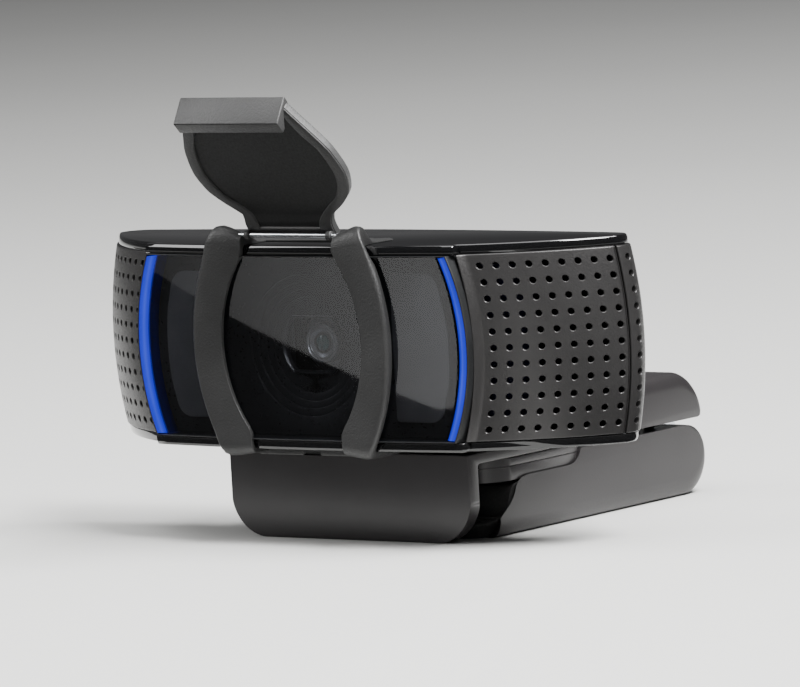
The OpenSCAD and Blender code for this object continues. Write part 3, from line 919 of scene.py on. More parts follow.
STRIP_RISE = 0.5
STRIP_BACK = 4.6
STRIP_CROWN = 0.16


def strip_shape():
    """A light pipe along the rim's inner slope, crowned across its width. Only its front glows."""
    rings = []
    across = []
    half = WINDOW_HALF - 0.15
    for dz in np.linspace(-half, half, 40):
        outer = float(face_edge_x(STRIP_OUT, BEZEL_BOW, dz))
        inner = float(face_edge_x(STRIP_IN, BEZEL_BOW, dz))
        y_out = float(window_curve(outer)) + 0.06 - RIM_PROUD
        y_in = y_out + STRIP_RISE
        ring = []
        marks = []
        for t in np.linspace(0, 1, 9):
            crown = STRIP_CROWN * math.sin(math.pi * t)
            ring.append((outer + (inner - outer) * t, y_out + (y_in - y_out) * t - crown, HEAD_MID + dz))
            marks.append(0.12 + 0.76 * t)
        ring += [
            (inner, y_in + 0.03, HEAD_MID + dz), (inner, STRIP_BACK, HEAD_MID + dz),
            (outer, STRIP_BACK, HEAD_MID + dz), (outer, y_out + 0.03, HEAD_MID + dz),
        ]
        marks += [1.0, 1.0, 0.0, 0.0]
        rings.append(ring)
        across += marks
    return loft(rings), across


def build_strips():
    shape, across = strip_shape()
    for name, form in (("right", shape), ("left", mirrored(shape))):
        obj = piece(f"light_pipe_{name}", form, "head", PIPE, [f"light_strip_{name}"])
        mark = obj.data.attributes.new("across", "FLOAT", "POINT")
        mark.data.foreach_set("value", np.array(across, np.float32))


PANEL_TOP = node_box("side_panel_right")[1][2]
PANEL_LOW = node_box("side_panel_right")[0][2]
PANEL_IN = node_box("side_panel_right")[0][0]
PANEL_OUT = node_box("side_panel_right")[1][0]
PANEL_Y = node_box("side_panel_right")[1][1]


def build_panels():
    corners = [
        (PANEL_IN, PANEL_LOW, 0.6), (PANEL_OUT - 1.9, PANEL_LOW, 2.6), (PANEL_OUT - 0.5, HEAD_MID - 5, 16),
        (PANEL_OUT, HEAD_MID, 30), (PANEL_OUT - 0.5, HEAD_MID + 5, 16), (PANEL_OUT - 1.9, PANEL_TOP, 2.6),
        (PANEL_IN, PANEL_TOP, 0.6),
    ]
    shape = plate(rounded(corners), PANEL_Y - 0.22, PANEL_Y, "y", (0.05, 0.05), (0.0, 0.0), 2)
    piece("grey_film_right", shape, "head", FILM, ["side_panel_right"])
    piece("grey_film_left", mirrored(shape), "head", FILM, ["side_panel_left"])


MASK_Y = node_box("lens_surround")[0][1]
MASK_BACK = node_box("lens_surround")[1][1]
RING_R = 10.1
RING_STEP = (MASK_BACK - MASK_Y) / 4
RING_RADII = [RING_R, RING_R - 1.1, RING_R - 2.1, RING_R - 3.2]


def outline_by_angle(outline, angles):
    """Where rays from the head's middle leave a closed outline."""
    p = np.array(outline) - np.array([0, HEAD_MID])
    q = np.roll(p, -1, 0)
    found = []
    for a in angles:
        d = np.array([math.cos(a), math.sin(a)])
        best = None
        for s, e in zip(p, q):
            edge = e - s
            base = d[0] * edge[1] - d[1] * edge[0]
            if abs(base) < 1e-9:
                continue
            t = (s[0] * edge[1] - s[1] * edge[0]) / base
            k = (s[0] * d[1] - s[1] * d[0]) / base
            if t > 0 and -1e-9 <= k <= 1 + 1e-9:
                best = t if best is None else min(best, t)
        found.append((d[0] * best, HEAD_MID + d[1] * best))
    return found


def circle_ring(radius, depth, angles):
    return [(radius * math.cos(a), depth, HEAD_MID + radius * math.sin(a)) for a in angles]


def build_surround():
    angles = np.linspace(0, 2 * math.pi, 144, endpoint=False)
    edge = outline_by_angle(face_outline(GLASS_X - 0.7, WINDOW_HALF - 0.1, BEZEL_BOW), angles)
    lip = 0.07
    rings = [at_depth(edge, MASK_BACK), at_depth(edge, MASK_Y)]
    for k, radius in enumerate(RING_RADII):
        top = MASK_Y + RING_STEP * k
        rings.append(circle_ring(radius + lip, top, angles))
        rings.append(circle_ring(radius + lip * 0.3, top + lip * 0.3, angles))
        rings.append(circle_ring(radius, top + lip, angles))
        if k < len(RING_RADII) - 1:
            rings.append(circle_ring(radius, top + RING_STEP, angles))
    rings.append(circle_ring(RING_RADII[-1], MASK_BACK, angles))
    mask = close_hoop(loft(rings, caps=False), len(angles))
    piece("stepped_lens_mask", mask, "head", MASK, ["lens_surround"], 30)


APERTURE_R = 5.0
APERTURE_HALF = 3.75


def build_aperture():
    angles = np.linspace(0, 2 * math.pi, 144, endpoint=False)
    opening = []
    for a in angles:
        x, z = APERTURE_R * math.cos(a), APERTURE_R * math.sin(a)
        if abs(z) > APERTURE_HALF:
            x, z = APERTURE_HALF / math.tan(a), math.copysign(APERTURE_HALF, z)
        opening.append((x, HEAD_MID + z))
    wide = [(x * 1.1, HEAD_MID + (z - HEAD_MID) * 1.1) for x, z in opening]
    low, high = node_box("aperture_frame")
    outer = (high[0] - low[0]) / 2
    rings = [
        circle_ring(outer, high[1], angles), circle_ring(outer, low[1], angles),
        at_depth(wide, low[1]), at_depth(wide, low[1] - 0.28),
        at_depth([(x * 1.07, HEAD_MID + (z - HEAD_MID) * 1.07) for x, z in opening], low[1] - 0.32),
        at_depth([(x * 1.02, HEAD_MID + (z - HEAD_MID) * 1.02) for x, z in opening], low[1] - 0.1),
        at_depth(opening, low[1] + 0.15), at_depth(opening, high[1]),
    ]
    frame_plate = close_hoop(loft(rings, caps=False), len(angles))
    piece("aperture_plate", frame_plate, "head", MASK, ["aperture_frame"], 30)


LENS_CENTRE = (0, HEAD_MID)
BARREL_FRONT = node_box("lens_barrel")[0][1]
# Where the front lens sits in the barrel's bore.
LENS_SEAT = 8.0
DOME_EDGE_R = 1.8
DOME_R = 3.2


def build_barrel():
    front, back = BARREL_FRONT, node_box("lens_barrel")[1][1]
    base, nose, bore, shoulder = 4.27, 2.95, 1.82, 8.7
    profile = [
        (base, back), (base, shoulder), (nose, shoulder), (nose, front + 0.3), (nose - 0.08, front + 0.1),
        (nose - 0.25, front), (2.5, front), (2.42, front + 0.08), (2.38, front + 0.3), (2.05, front + 0.34),
        (2.0, front + 0.5), (bore, front + 0.55), (bore, LENS_SEAT),
    ]
    shape = turned(profile, "y", LENS_CENTRE)
    piece("lens_barrel_turned", shape, "lens_group", ANODISED, ["lens_barrel"], 25)


def build_retainer():
    front = BARREL_FRONT
    profile = [
        (2.33, front + 0.36), (2.33, front + 0.06), (2.25, front), (2.05, front), (1.98, front + 0.1),
        (1.84, front + 0.16), (1.55, front + 0.36),
    ]
    shape = turned(profile, "y", LENS_CENTRE)
    piece("lens_retainer_ring", shape, "lens_group", ANODISED, ["lens_retainer"], 25)


def build_front_lens():
    profile = [(DOME_EDGE_R, LENS_SEAT + 0.1)]
    for r in np.linspace(DOME_EDGE_R, 0.02, 14):
        sag = DOME_R - math.sqrt(DOME_R ** 2 - float(r) ** 2)
        profile.append((float(r), BARREL_FRONT + 0.16 + sag))
    shape = turned(profile, "y", LENS_CENTRE)
    piece("front_lens_dome", shape, "lens_group", LENS, ["front_lens"], 40)


# ---------------------------------------------------------------------------
# Shutter
# ---------------------------------------------------------------------------
# Half widths of the arms at their widest, the height of that, and the straight inner edge of their ends.
ARM_IN = 12.45
ARM_OUT = node_box("shutter_frame")[1][0]
ARM_MID = HEAD_MID + 0.7
ARM_EDGE = 8.1
ARM_INNER_SHARE = 0.55
ARM_BACK = 0.1
# Room left between the head and what wraps round it.
HEAD_GAP = 0.06


def bulge(x_mid, bow, half, dz):
    """An arc that stands at x_mid in the middle and has come in by bow at a height of half."""
    r = (half ** 2 + bow ** 2) / (2 * bow)
    return x_mid - r + math.sqrt(max(r * r - dz * dz, 0.0))


def arm_x(z):
    """Inner and outer half widths of the shutter's arms at a height."""
    dz = z - ARM_MID
    return max(ARM_EDGE, bulge(ARM_IN, ARM_IN - ARM_EDGE, 12.5, dz)), bulge(ARM_OUT, 2.9, 13, dz)


def arm_stations():
    """Stations round an arm, from its rear top to its rear foot.

    Each is (inner y, inner z, outer y, outer z, height that its widths are read at).
    """
    top, low = HEAD_Z1 + HEAD_GAP, HEAD_Z0 - HEAD_GAP
    crown = PIN_Z + 1.35
    stations = [
        (8.5, top, 8.5, top + 0.32, 46.4), (4.6, top, 4.7, top + 0.34, 46.4),
        (3.6, top, 3.8, top + 0.5, 46.3), (2.9, top, 3.1, top + 1.2, 46.1),
        (2.4, top, 2.5, crown - 0.9, 45.9), (1.7, top, 1.8, crown - 0.3, 45.5),
        (1.1, top, 0.9, crown, 45.0),
        (0.6, top - 0.05, 0.2, crown - 0.05, 44.8), (0.35, top - 0.3, -0.45, crown - 0.5, 44.3),
        (0.18, top - 0.8, -0.85, crown - 1.3, 43.6), (ARM_BACK, top - 1.6, -1.0, crown - 2.4, 42.6),
    ]
    for z in np.linspace(HEAD_Z1 - 2.6, HEAD_Z0 + 2.4, 26):
        swell = 0.18 * math.cos(math.pi * (z - ARM_MID) / 30) ** 2
        stations.append((ARM_BACK, z, -0.86 - swell, z, z))
    stations += [
        (ARM_BACK, low + 1.4, -0.98, low + 1.0, 15.6), (0.2, low + 0.7, -0.85, low + 0.1, 14.8),
        (0.5, low + 0.15, -0.45, low - 0.62, 14.2), (0.95, low, 0.25, low - 0.96, 13.8),
        (1.6, low, 1.4, low - 1.04, 13.6), (3.0, low, 3.0, low - 1.04, 13.6),
        (7.0, low, 7.0, low - 0.95, 13.6),
    ]
    return stations


def arm_shape():
    rings = []
    for yi, zi, yo, zo, at in arm_stations():
        x_in, x_out = arm_x(at)
        soft_out = min(0.75, 0.24 * (x_out - x_in))
        soft_in = 0.14
        ring = []

        def put(x, share):
            ring.append((x, yi + (yo - yi) * share, zi + (zo - zi) * share))

        put(x_in, 0.0)
        for k in range(5):
            a = math.pi / 2 * k / 4
            put(x_in + soft_in * (1 - math.cos(a)), ARM_INNER_SHARE - 0.12 + 0.12 * math.sin(a))
        put(x_in + (x_out - x_in) * 0.35, 0.5 + ARM_INNER_SHARE / 2)
        put(x_in + (x_out - x_in) * 0.7, 1.0)
        for k in range(8):
            a = math.pi / 2 * (1 - k / 7)
            put(x_out - soft_out * (1 - math.cos(a)), 0.2 + 0.78 * math.sin(a))
        put(x_out, 0.0)
        put((x_in + x_out) / 2, 0.0)
        rings.append(ring)
    return loft(rings)


def build_shutter_frame():
    arm = arm_shape()
    bridge = plate(
        rounded([(-9.5, 5.6, 0.4), (9.5, 5.6, 0.4), (9.5, 8.5, 0.8), (-9.5, 8.5, 0.8)]),
        HEAD_Z1 + HEAD_GAP, HEAD_Z1 + HEAD_GAP + 0.3, "z", (0.05, 0.05), (0.1, 0.1), 3,
    )
    low = HEAD_Z0 - 1.1
    notch = 0.55
    strip = [
        (-9.5, 3, 0.1), (-1.6, 3, 0.1), (-1.4, 3 + notch, 0.3), (1.4, 3 + notch, 0.3), (1.6, 3, 0.1),
        (9.5, 3, 0.1), (9.5, 7, 0.4), (-9.5, 7, 0.4),
    ]
    foot = plate(rounded(strip, 3), low, HEAD_Z0 - HEAD_GAP, "z", (0.15, 0.15), (0.05, 0.05), 3)
    piece("shutter_frame_moulding", merge(arm, mirrored(arm), bridge, foot), "head",
          SHUTTER, ["shutter_frame"], 45)


def build_shutter_pin():
    out = node_box("shutter_pin")[1][0]
    bevel = 0.08
    profile = [
        (0.1, -out), (PIN_R - bevel, -out), (PIN_R, bevel - out),
        (PIN_R, out - bevel), (PIN_R - bevel, out), (0.1, out),
    ]
    piece("shutter_pin_ground", turned(profile, "x", (PIN_Y, PIN_Z), 40), "head", STEEL,
          ["shutter_pin"], 30)


# The open flap leans forward from upright, in degrees.
FLAP_LEAN = 39.5
# Its inner and outer faces, out from the pin, and its length along from the pin.
FLAP_IN = 2.8
FLAP_OUT = 3.85
FLAP_LEN = 22.75
LIP_HALF = 9.25
# The ears that turn on the pin.
EAR_R = 0.68
EAR_IN = 6.9
EAR_OUT = 7.68
# Half widths of the flap and of its recess, by distance from the pin.
FLAP_HALF = [
    (-0.9, 7.7), (1.2, 7.75), (2.2, 7.95), (3.1, 9.3), (4.3, 10.9), (6.5, 12.75), (9.6, 13.55), (13, 13.1),
    (16.5, 11.7), (19, 10.5), (21.4, 9.4), (22.2, 9.05),
]
RECESS_HALF = [
    (0.55, 5.4), (1.6, 5.7), (3.4, 7.6), (5.2, 9.9), (9.6, 11.7), (13.4, 11.2), (17.0, 9.4), (21.2, 8.1),
]
# The plate curls back to its pin at the neck: how far it stands from the pin at each height.
FLAP_STAND = [
    (-2.0, 0.6), (1.0, 0.85), (2.6, 1.78), (4.2, 2.2), (7.0, 2.55), (10.0, 2.8), (16.0, 3.1), (24.5, 3.3),
]


def flap_shift(along):
    """How far the plate's curl moves it out, at a distance along from the pin."""
    at, stand = smooth_curve(FLAP_STAND, 160)
    return np.interp(along, at, stand) - FLAP_IN


def swing(points):
    """Takes flap points (x, out, along) from the pin to where the open flap stands."""
    a = math.radians(FLAP_LEAN - 180)
    p = np.asarray(points, float)
    y, z = -p[:, 1], -p[:, 2]
    return np.stack([
        p[:, 0], PIN_Y + y * math.cos(a) - z * math.sin(a), PIN_Z + y * math.sin(a) + z * math.cos(a)
    ], 1)


def flap_loop(knots):
    """A mirrored outline from half widths along the flap."""
    along, half = smooth_curve(knots, 44)
    right = list(zip(half, along))
    return right + [(-h, t) for h, t in reversed(right)]


def strip_cap(count, start):
    """Closes a mirrored loop with a ladder of quads from side to side."""
    end = start + count
    return [(start + i, start + i + 1, end - 2 - i, end - 1 - i) for i in range(count // 2 - 1)]


def build_flap():
    outer = flap_loop(FLAP_HALF)
    recess = flap_loop(RECESS_HALF)
    crown = 0.4

    def ring(outline, out, draw=0.0):
        edge = inset(outline, draw) if draw else np.array(outline)
        return np.stack([edge[:, 0], out + flap_shift(edge[:, 1]), edge[:, 1]], 1)

    rings = [
        ring(outer, FLAP_OUT + crown, 1.8), ring(outer, FLAP_OUT + crown * 0.95, 0.9),
        ring(outer, FLAP_OUT + crown * 0.8, 0.25), ring(outer, FLAP_OUT + crown * 0.5, 0.05),
        ring(outer, FLAP_OUT + crown * 0.2, 0.0),
        ring(outer, FLAP_IN + 0.28, 0.0), ring(outer, FLAP_IN + 0.22, 0.1), ring(outer, FLAP_IN + 0.14, 0.1),
        ring(outer, FLAP_IN + 0.05, 0.14), ring(outer, FLAP_IN, 0.28),
        ring(recess, FLAP_IN, -0.12), ring(recess, FLAP_IN + 0.05, 0.0), ring(recess, FLAP_IN + 0.34, 0.12),
        ring(recess, FLAP_IN + 0.38, 0.3),
    ]
    points, faces = loft(rings, caps=False)
    faces += strip_cap(len(rings[0]), 0) + strip_cap(len(rings[0]), (len(rings) - 1) * len(rings[0]))
    body = (swing(points), faces)
    # The lip: a folded end that hangs in front of the open flap.
    top = FLAP_OUT + 0.85
    section = rounded([
        (top, FLAP_LEN + 0.1, 0.25), (0.75, FLAP_LEN - 1.5, 0.22), (0.95, FLAP_LEN - 3.5, 0.15),
        (1.6, FLAP_LEN - 3.3, 0.15), (FLAP_IN + 0.5, FLAP_LEN - 1.2, 0.1), (top, FLAP_LEN - 1.2, 0.1),
    ], 4)
    points, faces = plate(section, -LIP_HALF, LIP_HALF, "x", (0.14, 0.16), (0.14, 0.16), 3)
    lip = (swing(points), faces)
    ears = []
    for side in (-1, 1):
        profile = arc((0, 0), EAR_R, 0, 345, 23)
        x0, x1 = sorted((side * EAR_IN, side * EAR_OUT))
        points, faces = plate(profile, x0, x1, "x", (0.1, 0.1), (0.1, 0.1), 3)
        ears.append((swing(points), faces))
    piece("shutter_flap_moulding", merge(body, lip, *ears), "flap", SHUTTER,
          ["shutter_flap"], 40)
    liner = [ring(recess, FLAP_IN + 0.28, 0.1), ring(recess, FLAP_IN + 0.37, 0.1)]
    points, faces = loft(liner, caps=False)
    faces += strip_cap(len(recess), 0) + strip_cap(len(recess), len(recess))
    piece("shutter_flap_liner", (swing(points), faces), "flap", FLAP_INSIDE)


# ---------------------------------------------------------------------------
# Clip
# ---------------------------------------------------------------------------
# Radius of the front plate's lower corners.
PLATE_CORNER = 6.5
# Where the platform ends at the bar, and the underside of its flange.
PLATFORM_END = 37.9
FLANGE_Z = 11.15
# Where the bar's flat underside starts.
BAR_FRONT = 38.6
# The webs that hold the tilt pin.
WEB_R = 2.2
# Underside of the step below the flange.
STEP_LOW = 9.92


def crowned(outline, half, draw, reach, y_fixed, z_fixed, steps=9):
    """A bar across x whose long edges round over: it shrinks towards a fixed line near its sides."""
    p = np.array(outline)
    tall = np.abs(p[:, 1] - z_fixed).max()
    deep = np.abs(p[:, 0] - y_fixed).max()
    rings = []
    for side in (-1, 1):
        for k in range(steps + 1) if side < 0 else range(steps, -1, -1):
            a = math.pi / 2 * k / steps
            less = draw * (1 - math.sin(a))
            z = z_fixed + (p[:, 1] - z_fixed) * (1 - less / tall)
            y = p[:, 0] - np.sign(p[:, 0] - y_fixed) * less * 0.6 * (np.abs(p[:, 0] - y_fixed) / deep) ** 6
            rings.append(lift(np.stack([y, z], 1), side * (half - reach * (1 - math.cos(a))), "x"))
    return loft(rings)


# The platform's layers and the leg turn up together at the rear: centre (y, z) and radius of the turn.
REAR_ARC = (34.8, 10.75)
REAR_R = 2.9
LAYER_FRONT = 16.5
# Just under the step, so that the pad and the step stay apart.
PAD_TOP = 9.86


def platform_layer(name, side):
    """One layer under the platform: a side outline across the clip, with its front corners cut round."""
    half = CLIP_X - 0.3
    obj = make_object(name, plate(side, -half, half, "x", (0.06, 0.06), (0.06, 0.06), 2))
    reach = 5.0
    front = LAYER_FRONT
    for sign in (-1, 1):
        centre = (sign * (half - reach), front + reach)
        turn = arc(centre, reach, 270, 360 if sign > 0 else 180, 16)
        corner = turn + [
            (sign * (half + 2), front + reach), (sign * (half + 2), front - 2), (centre[0], front - 2),
        ]
        cut(obj, plate(corner, 5, 13, "z"))
    return obj


def front_angle():
    """The front plate and the platform, one angle, cut round at its lower corners."""
    outline = rounded([
        (PLATE_Y, 0, 0.35), (PLATE_Y + PLATE_T, 0, 0.35), (PLATE_Y + PLATE_T, FLANGE_Z, 0.45),
        (PLATFORM_END, FLANGE_Z, 0), (PLATFORM_END, PLATFORM_TOP, 0), (PLATE_Y, PLATFORM_TOP, 0.3),
    ], 4)
    edge = (0.22, 0.22)
    obj = make_object("clip_arm_moulding", plate(outline, -CLIP_X, CLIP_X, "x", edge, edge, 3))
    for side in (-1, 1):
        reach = PLATE_CORNER
        cx = side * (CLIP_X - reach)
        turn = arc((cx, reach), reach, 270, 360 if side > 0 else 180, 24)
        corner = turn + [(side * (CLIP_X + 2), reach), (side * (CLIP_X + 2), -2), (cx, -2)]
        cut(obj, plate(corner, PLATE_Y - 2, PLATE_Y + PLATE_T + 2, "y"))
    return soften(obj, 0.22, 50, 3)


def rear_bar():
    """The raised bar: its top and sides are crowned, and its underside is flat and hollowed."""
    end_r = BAR_TOP - BAR_BOTTOM
    outline = [(31.5, FLANGE_Z + 0.2), (31.5, 13.0), (40.5, BAR_TOP)]
    outline += arc((CLIP_END - end_r, BAR_BOTTOM), end_r, 90, 8, 14)
    outline += [(CLIP_END - 0.25, BAR_BOTTOM + 0.2), (CLIP_END - 0.8, BAR_BOTTOM), (BAR_FRONT, BAR_BOTTOM)]
    obj = make_object("bar", crowned(outline, CLIP_X, 2.6, 1.7, BAR_FRONT, BAR_BOTTOM))
    return cut(obj, box_shape((-19, 44, 0), (19, 67.9, BAR_BOTTOM + 1.2)))


def tilt_webs():
    """The two webs that hold the ends of the tilt pin."""
    low, high = node_box("tilt_washers")
    end = node_box("tilt_pin")[1][0] - 0.6
    tilt = ((low[1] + high[1]) / 2, (low[2] + high[2]) / 2)
    foot = PLATFORM_TOP - 0.6
    outline = arc(tilt, WEB_R, -10, 190, 16) + [(tilt[0] - WEB_R, foot), (tilt[0] + WEB_R, foot)]
    webs = []
    for side in (-1, 1):
        x0, x1 = sorted((side * high[0], side * end))
        webs.append(plate(outline, x0, x1, "x", (0.25, 0.25), (0.25, 0.25), 3))
    return make_object("webs", merge(*webs))


def build_clip_arm():
    arm = front_angle()
    step = platform_layer("step", [
        (LAYER_FRONT, STEP_LOW), (REAR_ARC[0] + REAR_R - 0.05, STEP_LOW),
        (REAR_ARC[0] + REAR_R, FLANGE_Z - 0.12), (LAYER_FRONT, FLANGE_Z - 0.12),
    ])
    half = CLIP_X - 1.0
    neck_plan = rounded([(-half, 18, 3), (half, 18, 3), (half, 37, 0.3), (-half, 37, 0.3)])
    neck = make_object("neck", plate(neck_plan, 10.5, FLANGE_Z + 0.1, "z"))
    join(arm, rear_bar(), tilt_webs(), step, neck)
    finish_piece(arm, "clip", CLIP, ["clip_arm"], 35)


def join(target, *others):
    """Adds other objects' meshes to the target's."""
    edit = bmesh.new()
    edit.from_mesh(target.data)
    for other in others:
        edit.from_mesh(other.data)
        mesh = other.data
        bpy.data.objects.remove(other)
        bpy.data.meshes.remove(mesh)
    edit.to_mesh(target.data)
    edit.free()
    return target


def build_platform_pad():
    end = math.degrees(math.asin((REAR_ARC[1] - PAD_TOP) / REAR_R))
    turn = arc(REAR_ARC, REAR_R, -90, -end, 10)
    side = [(LAYER_FRONT, REAR_ARC[1] - REAR_R)] + turn + [(LAYER_FRONT, PAD_TOP)]
    pad = platform_layer("platform_pad_moulding", side)
    finish_piece(pad, "clip", CLIP, ["platform_pad"], 40)


def build_jaw_pad():
    low, high = node_box("jaw_pad")
    jaw = rounded([
        (low[0], low[2], 4), (high[0], low[2], 4), (high[0], high[2], 0.5), (low[0], high[2], 0.5),
    ])
    shape = plate(jaw, low[1], high[1], "y", (0, 0), (0.4, 0.4), 4)
    piece("jaw_pad_moulding", shape, "clip", RUBBER, ["jaw_pad"], 40)


LEG_LOW_TOP = 7.53
# The leg's front edge in side view, an S from its foot up to the ledge.
S_EDGE = [
    (17.9, 0.0), (18.3, 0.5), (19.2, 1.3), (20.4, 2.5), (21.2, 3.6), (21.7, 4.7), (22.05, 5.7), (22.6, 6.6),
    (23.4, 7.15), (24.3, 7.4), (25.4, LEG_LOW_TOP),
]
# The nose stays this far inside the leg's sides. Its front and its corners in plan come next.
NOSE_BACK = 0.3
NOSE_FRONT = 15.9
NOSE_CORNER = 5.0
RIB_PITCH = 1.6


def right_to_left(right):
    """Completes a ring from its right half, from the top down."""
    return right + [(-x, y, z) for x, y, z in reversed(right)]


def build_leg():
    outline = list(S_EDGE)
    turn_r = REAR_R + 0.32
    outline += arc(REAR_ARC, turn_r, -90, -12, 14) + [(REAR_ARC[0] + turn_r + 0.25, LEG_TOP)]
    outline += arc((HINGE_Y, HINGE_Z), LEG_R, 90, -90, 28)
    leg = make_object("leg_moulding", crowned(outline, CLIP_X, 2.8, 1.7, 30.0, LEG_TOP))
    bracket_x = node_box("hinge_brackets")[1][0]
    gap = 0.3
    slots = []
    for side in (-1, 1):
        x0, x1 = sorted((side * (bracket_x - 2.0 - gap), side * (bracket_x + gap)))
        slots.append(box_shape((x0, HINGE_Y - 3.6, -1), (x1, HINGE_Y + 12, 20)))
    grip_low, grip_high = node_box("leg_grip_pad")
    room = 0.1
    well = box_shape(
        (grip_low[0] - room, grip_low[1] - room, grip_low[2]),
        (grip_high[0] + room, grip_high[1] + room, 20),
    )
    insert_low, insert_high = node_box("tripod_insert")
    hole = turned([(4.52, -2), (4.52, insert_high[2])], "z", (0, (insert_low[1] + insert_high[1]) / 2), 48)
    cut(leg, *slots, well, hole)
    finish_piece(leg, "leg", CLIP, ["leg_shell"], 35)


def build_leg_nose():
    """The nose: dark and round-cornered in plan, with a low lip and a ledge above it."""
    front, corner = NOSE_FRONT, NOSE_CORNER
    heights = [
        (front, 0.9), (front + 0.05, 1.5), (front + 0.2, 2.0), (front + 0.5, 2.25), (17.4, 2.35),
        (17.5, 2.6), (18.1, 2.65), (18.2, 2.95), (19.0, 3.3), (19.8, 4.1), (20.3, 5.0), (20.7, 6.0),
        (21.3, 6.9), (22.4, 7.35), (25.6, 7.5),
    ]
    rings = []
    for y, top in heights:
        depth = min(y - front, corner)
        half = CLIP_X - 0.02 - corner + math.sqrt(max(corner ** 2 - (corner - depth) ** 2, 0.01))
        soft = 0.18
        side = half - (NOSE_BACK if y > 19 else 0.0)
        right = [(side - soft, y, top), (side, y, top - soft)]
        for k in range(6):
            a = math.pi / 2 * (1 - k / 5)
            right.append((side - 1.7 * math.cos(a) ** 2, y, 0.02 + min(top - soft, 2.8) * math.sin(a) * 0.9))
        rings.append(right_to_left(right))
    piece("leg_nose_moulding", loft(rings), "leg", RUBBER, ["leg_nose_pad"], 35)


def build_leg_grip():
    low, high = node_box("leg_grip_pad")
    pad = rounded([(low[0], low[1], 1), (high[0], low[1], 1), (high[0], high[1], 1), (low[0], high[1], 1)])
    ribs = [plate(pad, low[2], high[2] - 0.35, "z", (0, 0), (0.2, 0.2), 3)]
    x0, x1, width = low[0] + 1, high[0] - 1, RIB_PITCH / 2
    for y in np.arange(low[1] + 1.5, high[1] - 1.2, RIB_PITCH):
        rib = rounded([(x0, y, 0.3), (x1, y, 0.3), (x1, y + width, 0.3), (x0, y + width, 0.3)], 3)
        ribs.append(plate(rib, high[2] - 0.4, high[2], "z", (0, 0), (0.15, 0.2), 3))
    piece("leg_grip_ribbed", merge(*ribs), "leg", RUBBER, ["leg_grip_pad"], 40)


# Tripod thread, 1/4 inch with 20 turns to the inch: pitch, and its radii in the insert.
THREAD_PITCH = 1.27
THREAD_MAJOR = 3.175
THREAD_MINOR = 2.55


def build_insert():
    low, high = node_box("tripod_insert")
    centre_y = (low[1] + high[1]) / 2
    outer = (high[0] - low[0]) / 2
    steps = 48
    a = np.linspace(0, 2 * math.pi, steps, endpoint=False)

    def ring(radius, z):
        radius = np.broadcast_to(radius, a.shape)
        return np.stack([radius * np.cos(a), centre_y + radius * np.sin(a), np.full(steps, z)], 1)

    rings = [ring(0.05, high[2]), ring(outer, high[2]), ring(outer, low[2] + 0.1), ring(outer - 0.1, low[2])]
    rings.append(ring(THREAD_MAJOR + 0.35, low[2]))
    depth = 5.5
    for z in np.linspace(low[2] + 0.35, low[2] + depth, 44):
        phase = (z / THREAD_PITCH + a / (2 * math.pi)) % 1.0
        ridge = 1 - np.abs(2 * phase - 1)
        rings.append(ring(THREAD_MINOR + (THREAD_MAJOR - THREAD_MINOR) * ridge, z))
    rings.append(ring(0.05, low[2] + depth))
    piece("tripod_insert_threaded", loft(rings), "leg", BRASS, ["tripod_insert"], 50)


def build_gland():
    low, high = node_box("cable_gland")
    centre = ((low[0] + high[0]) / 2, (low[2] + high[2]) / 2)
    bore = 1.75
    out = high[1]
    profile = [
        (bore, low[1]), (4.2, low[1]), (4.2, 22.1), (3.1, 22.1), (3.1, BACK_Y + 0.1), (3.9, BACK_Y + 0.1),
        (4.0, BACK_Y + 0.25), (3.9, BACK_Y + 0.5), (3.2, BACK_Y + 0.6),
    ]
    y = BACK_Y + 0.9
    while y < out - 0.5:
        profile += [(2.95, y), (2.6, y + 0.12), (2.6, y + 0.4), (2.9, y + 0.52)]
        y += 0.9
    profile += [(2.75, out - 0.25), (2.5, out), (bore + 0.25, out), (bore, out - 0.25)]
    steps = 64
    gland = close_hoop(turned(profile, "y", centre, steps, caps=False), steps)
    piece("cable_gland_ribbed", gland, "head", RUBBER, ["cable_gland"], 30)


# ---------------------------------------------------------------------------
# CAD nodes that stay, with their real finishes
# ---------------------------------------------------------------------------
CARRIED = {
    "chassis": NYLON, "chassis_screws": STEEL, "main_board": BOARD, "shield_can": STEEL,
    "sensor_board": BOARD, "image_sensor": MASK, "autofocus_housing": MASK, "status_leds": PIPE,
    "microphones": BRASS, "mic_gaskets": RUBBER, "tilt_knuckle": CLIP, "inner_lens": LENS,
    "arm_bottom_plate": CLIP, "arm_screws": STEEL, "hinge_brackets": STEEL, "tilt_pin": STEEL,
    "tilt_washers": STEEL, "leg_hinge_pin": STEEL,
}


def dress_carried_nodes():
    for name, material in CARRIED.items():
        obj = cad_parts[name]
        obj.data.materials.clear()
        obj.data.materials.append(material)


# ---------------------------------------------------------------------------
# Camera, light and floor
# ---------------------------------------------------------------------------
CAMERA_AZ = 37.44
CAMERA_EL = 5.658
CAMERA_ROLL = -3.279
CAMERA_DISTANCE = 985.5
CAMERA_TARGET = (9.881, 12.0, 28.28)
CAMERA_LENS = 313.4


def direction(azimuth, elevation):
    """Unit vector from the object towards an azimuth (0 in front, positive to the right) and elevation."""
    a, e = math.radians(azimuth), math.radians(elevation)
    return Vector((math.sin(a) * math.cos(e), -math.cos(a) * math.cos(e), math.sin(e)))


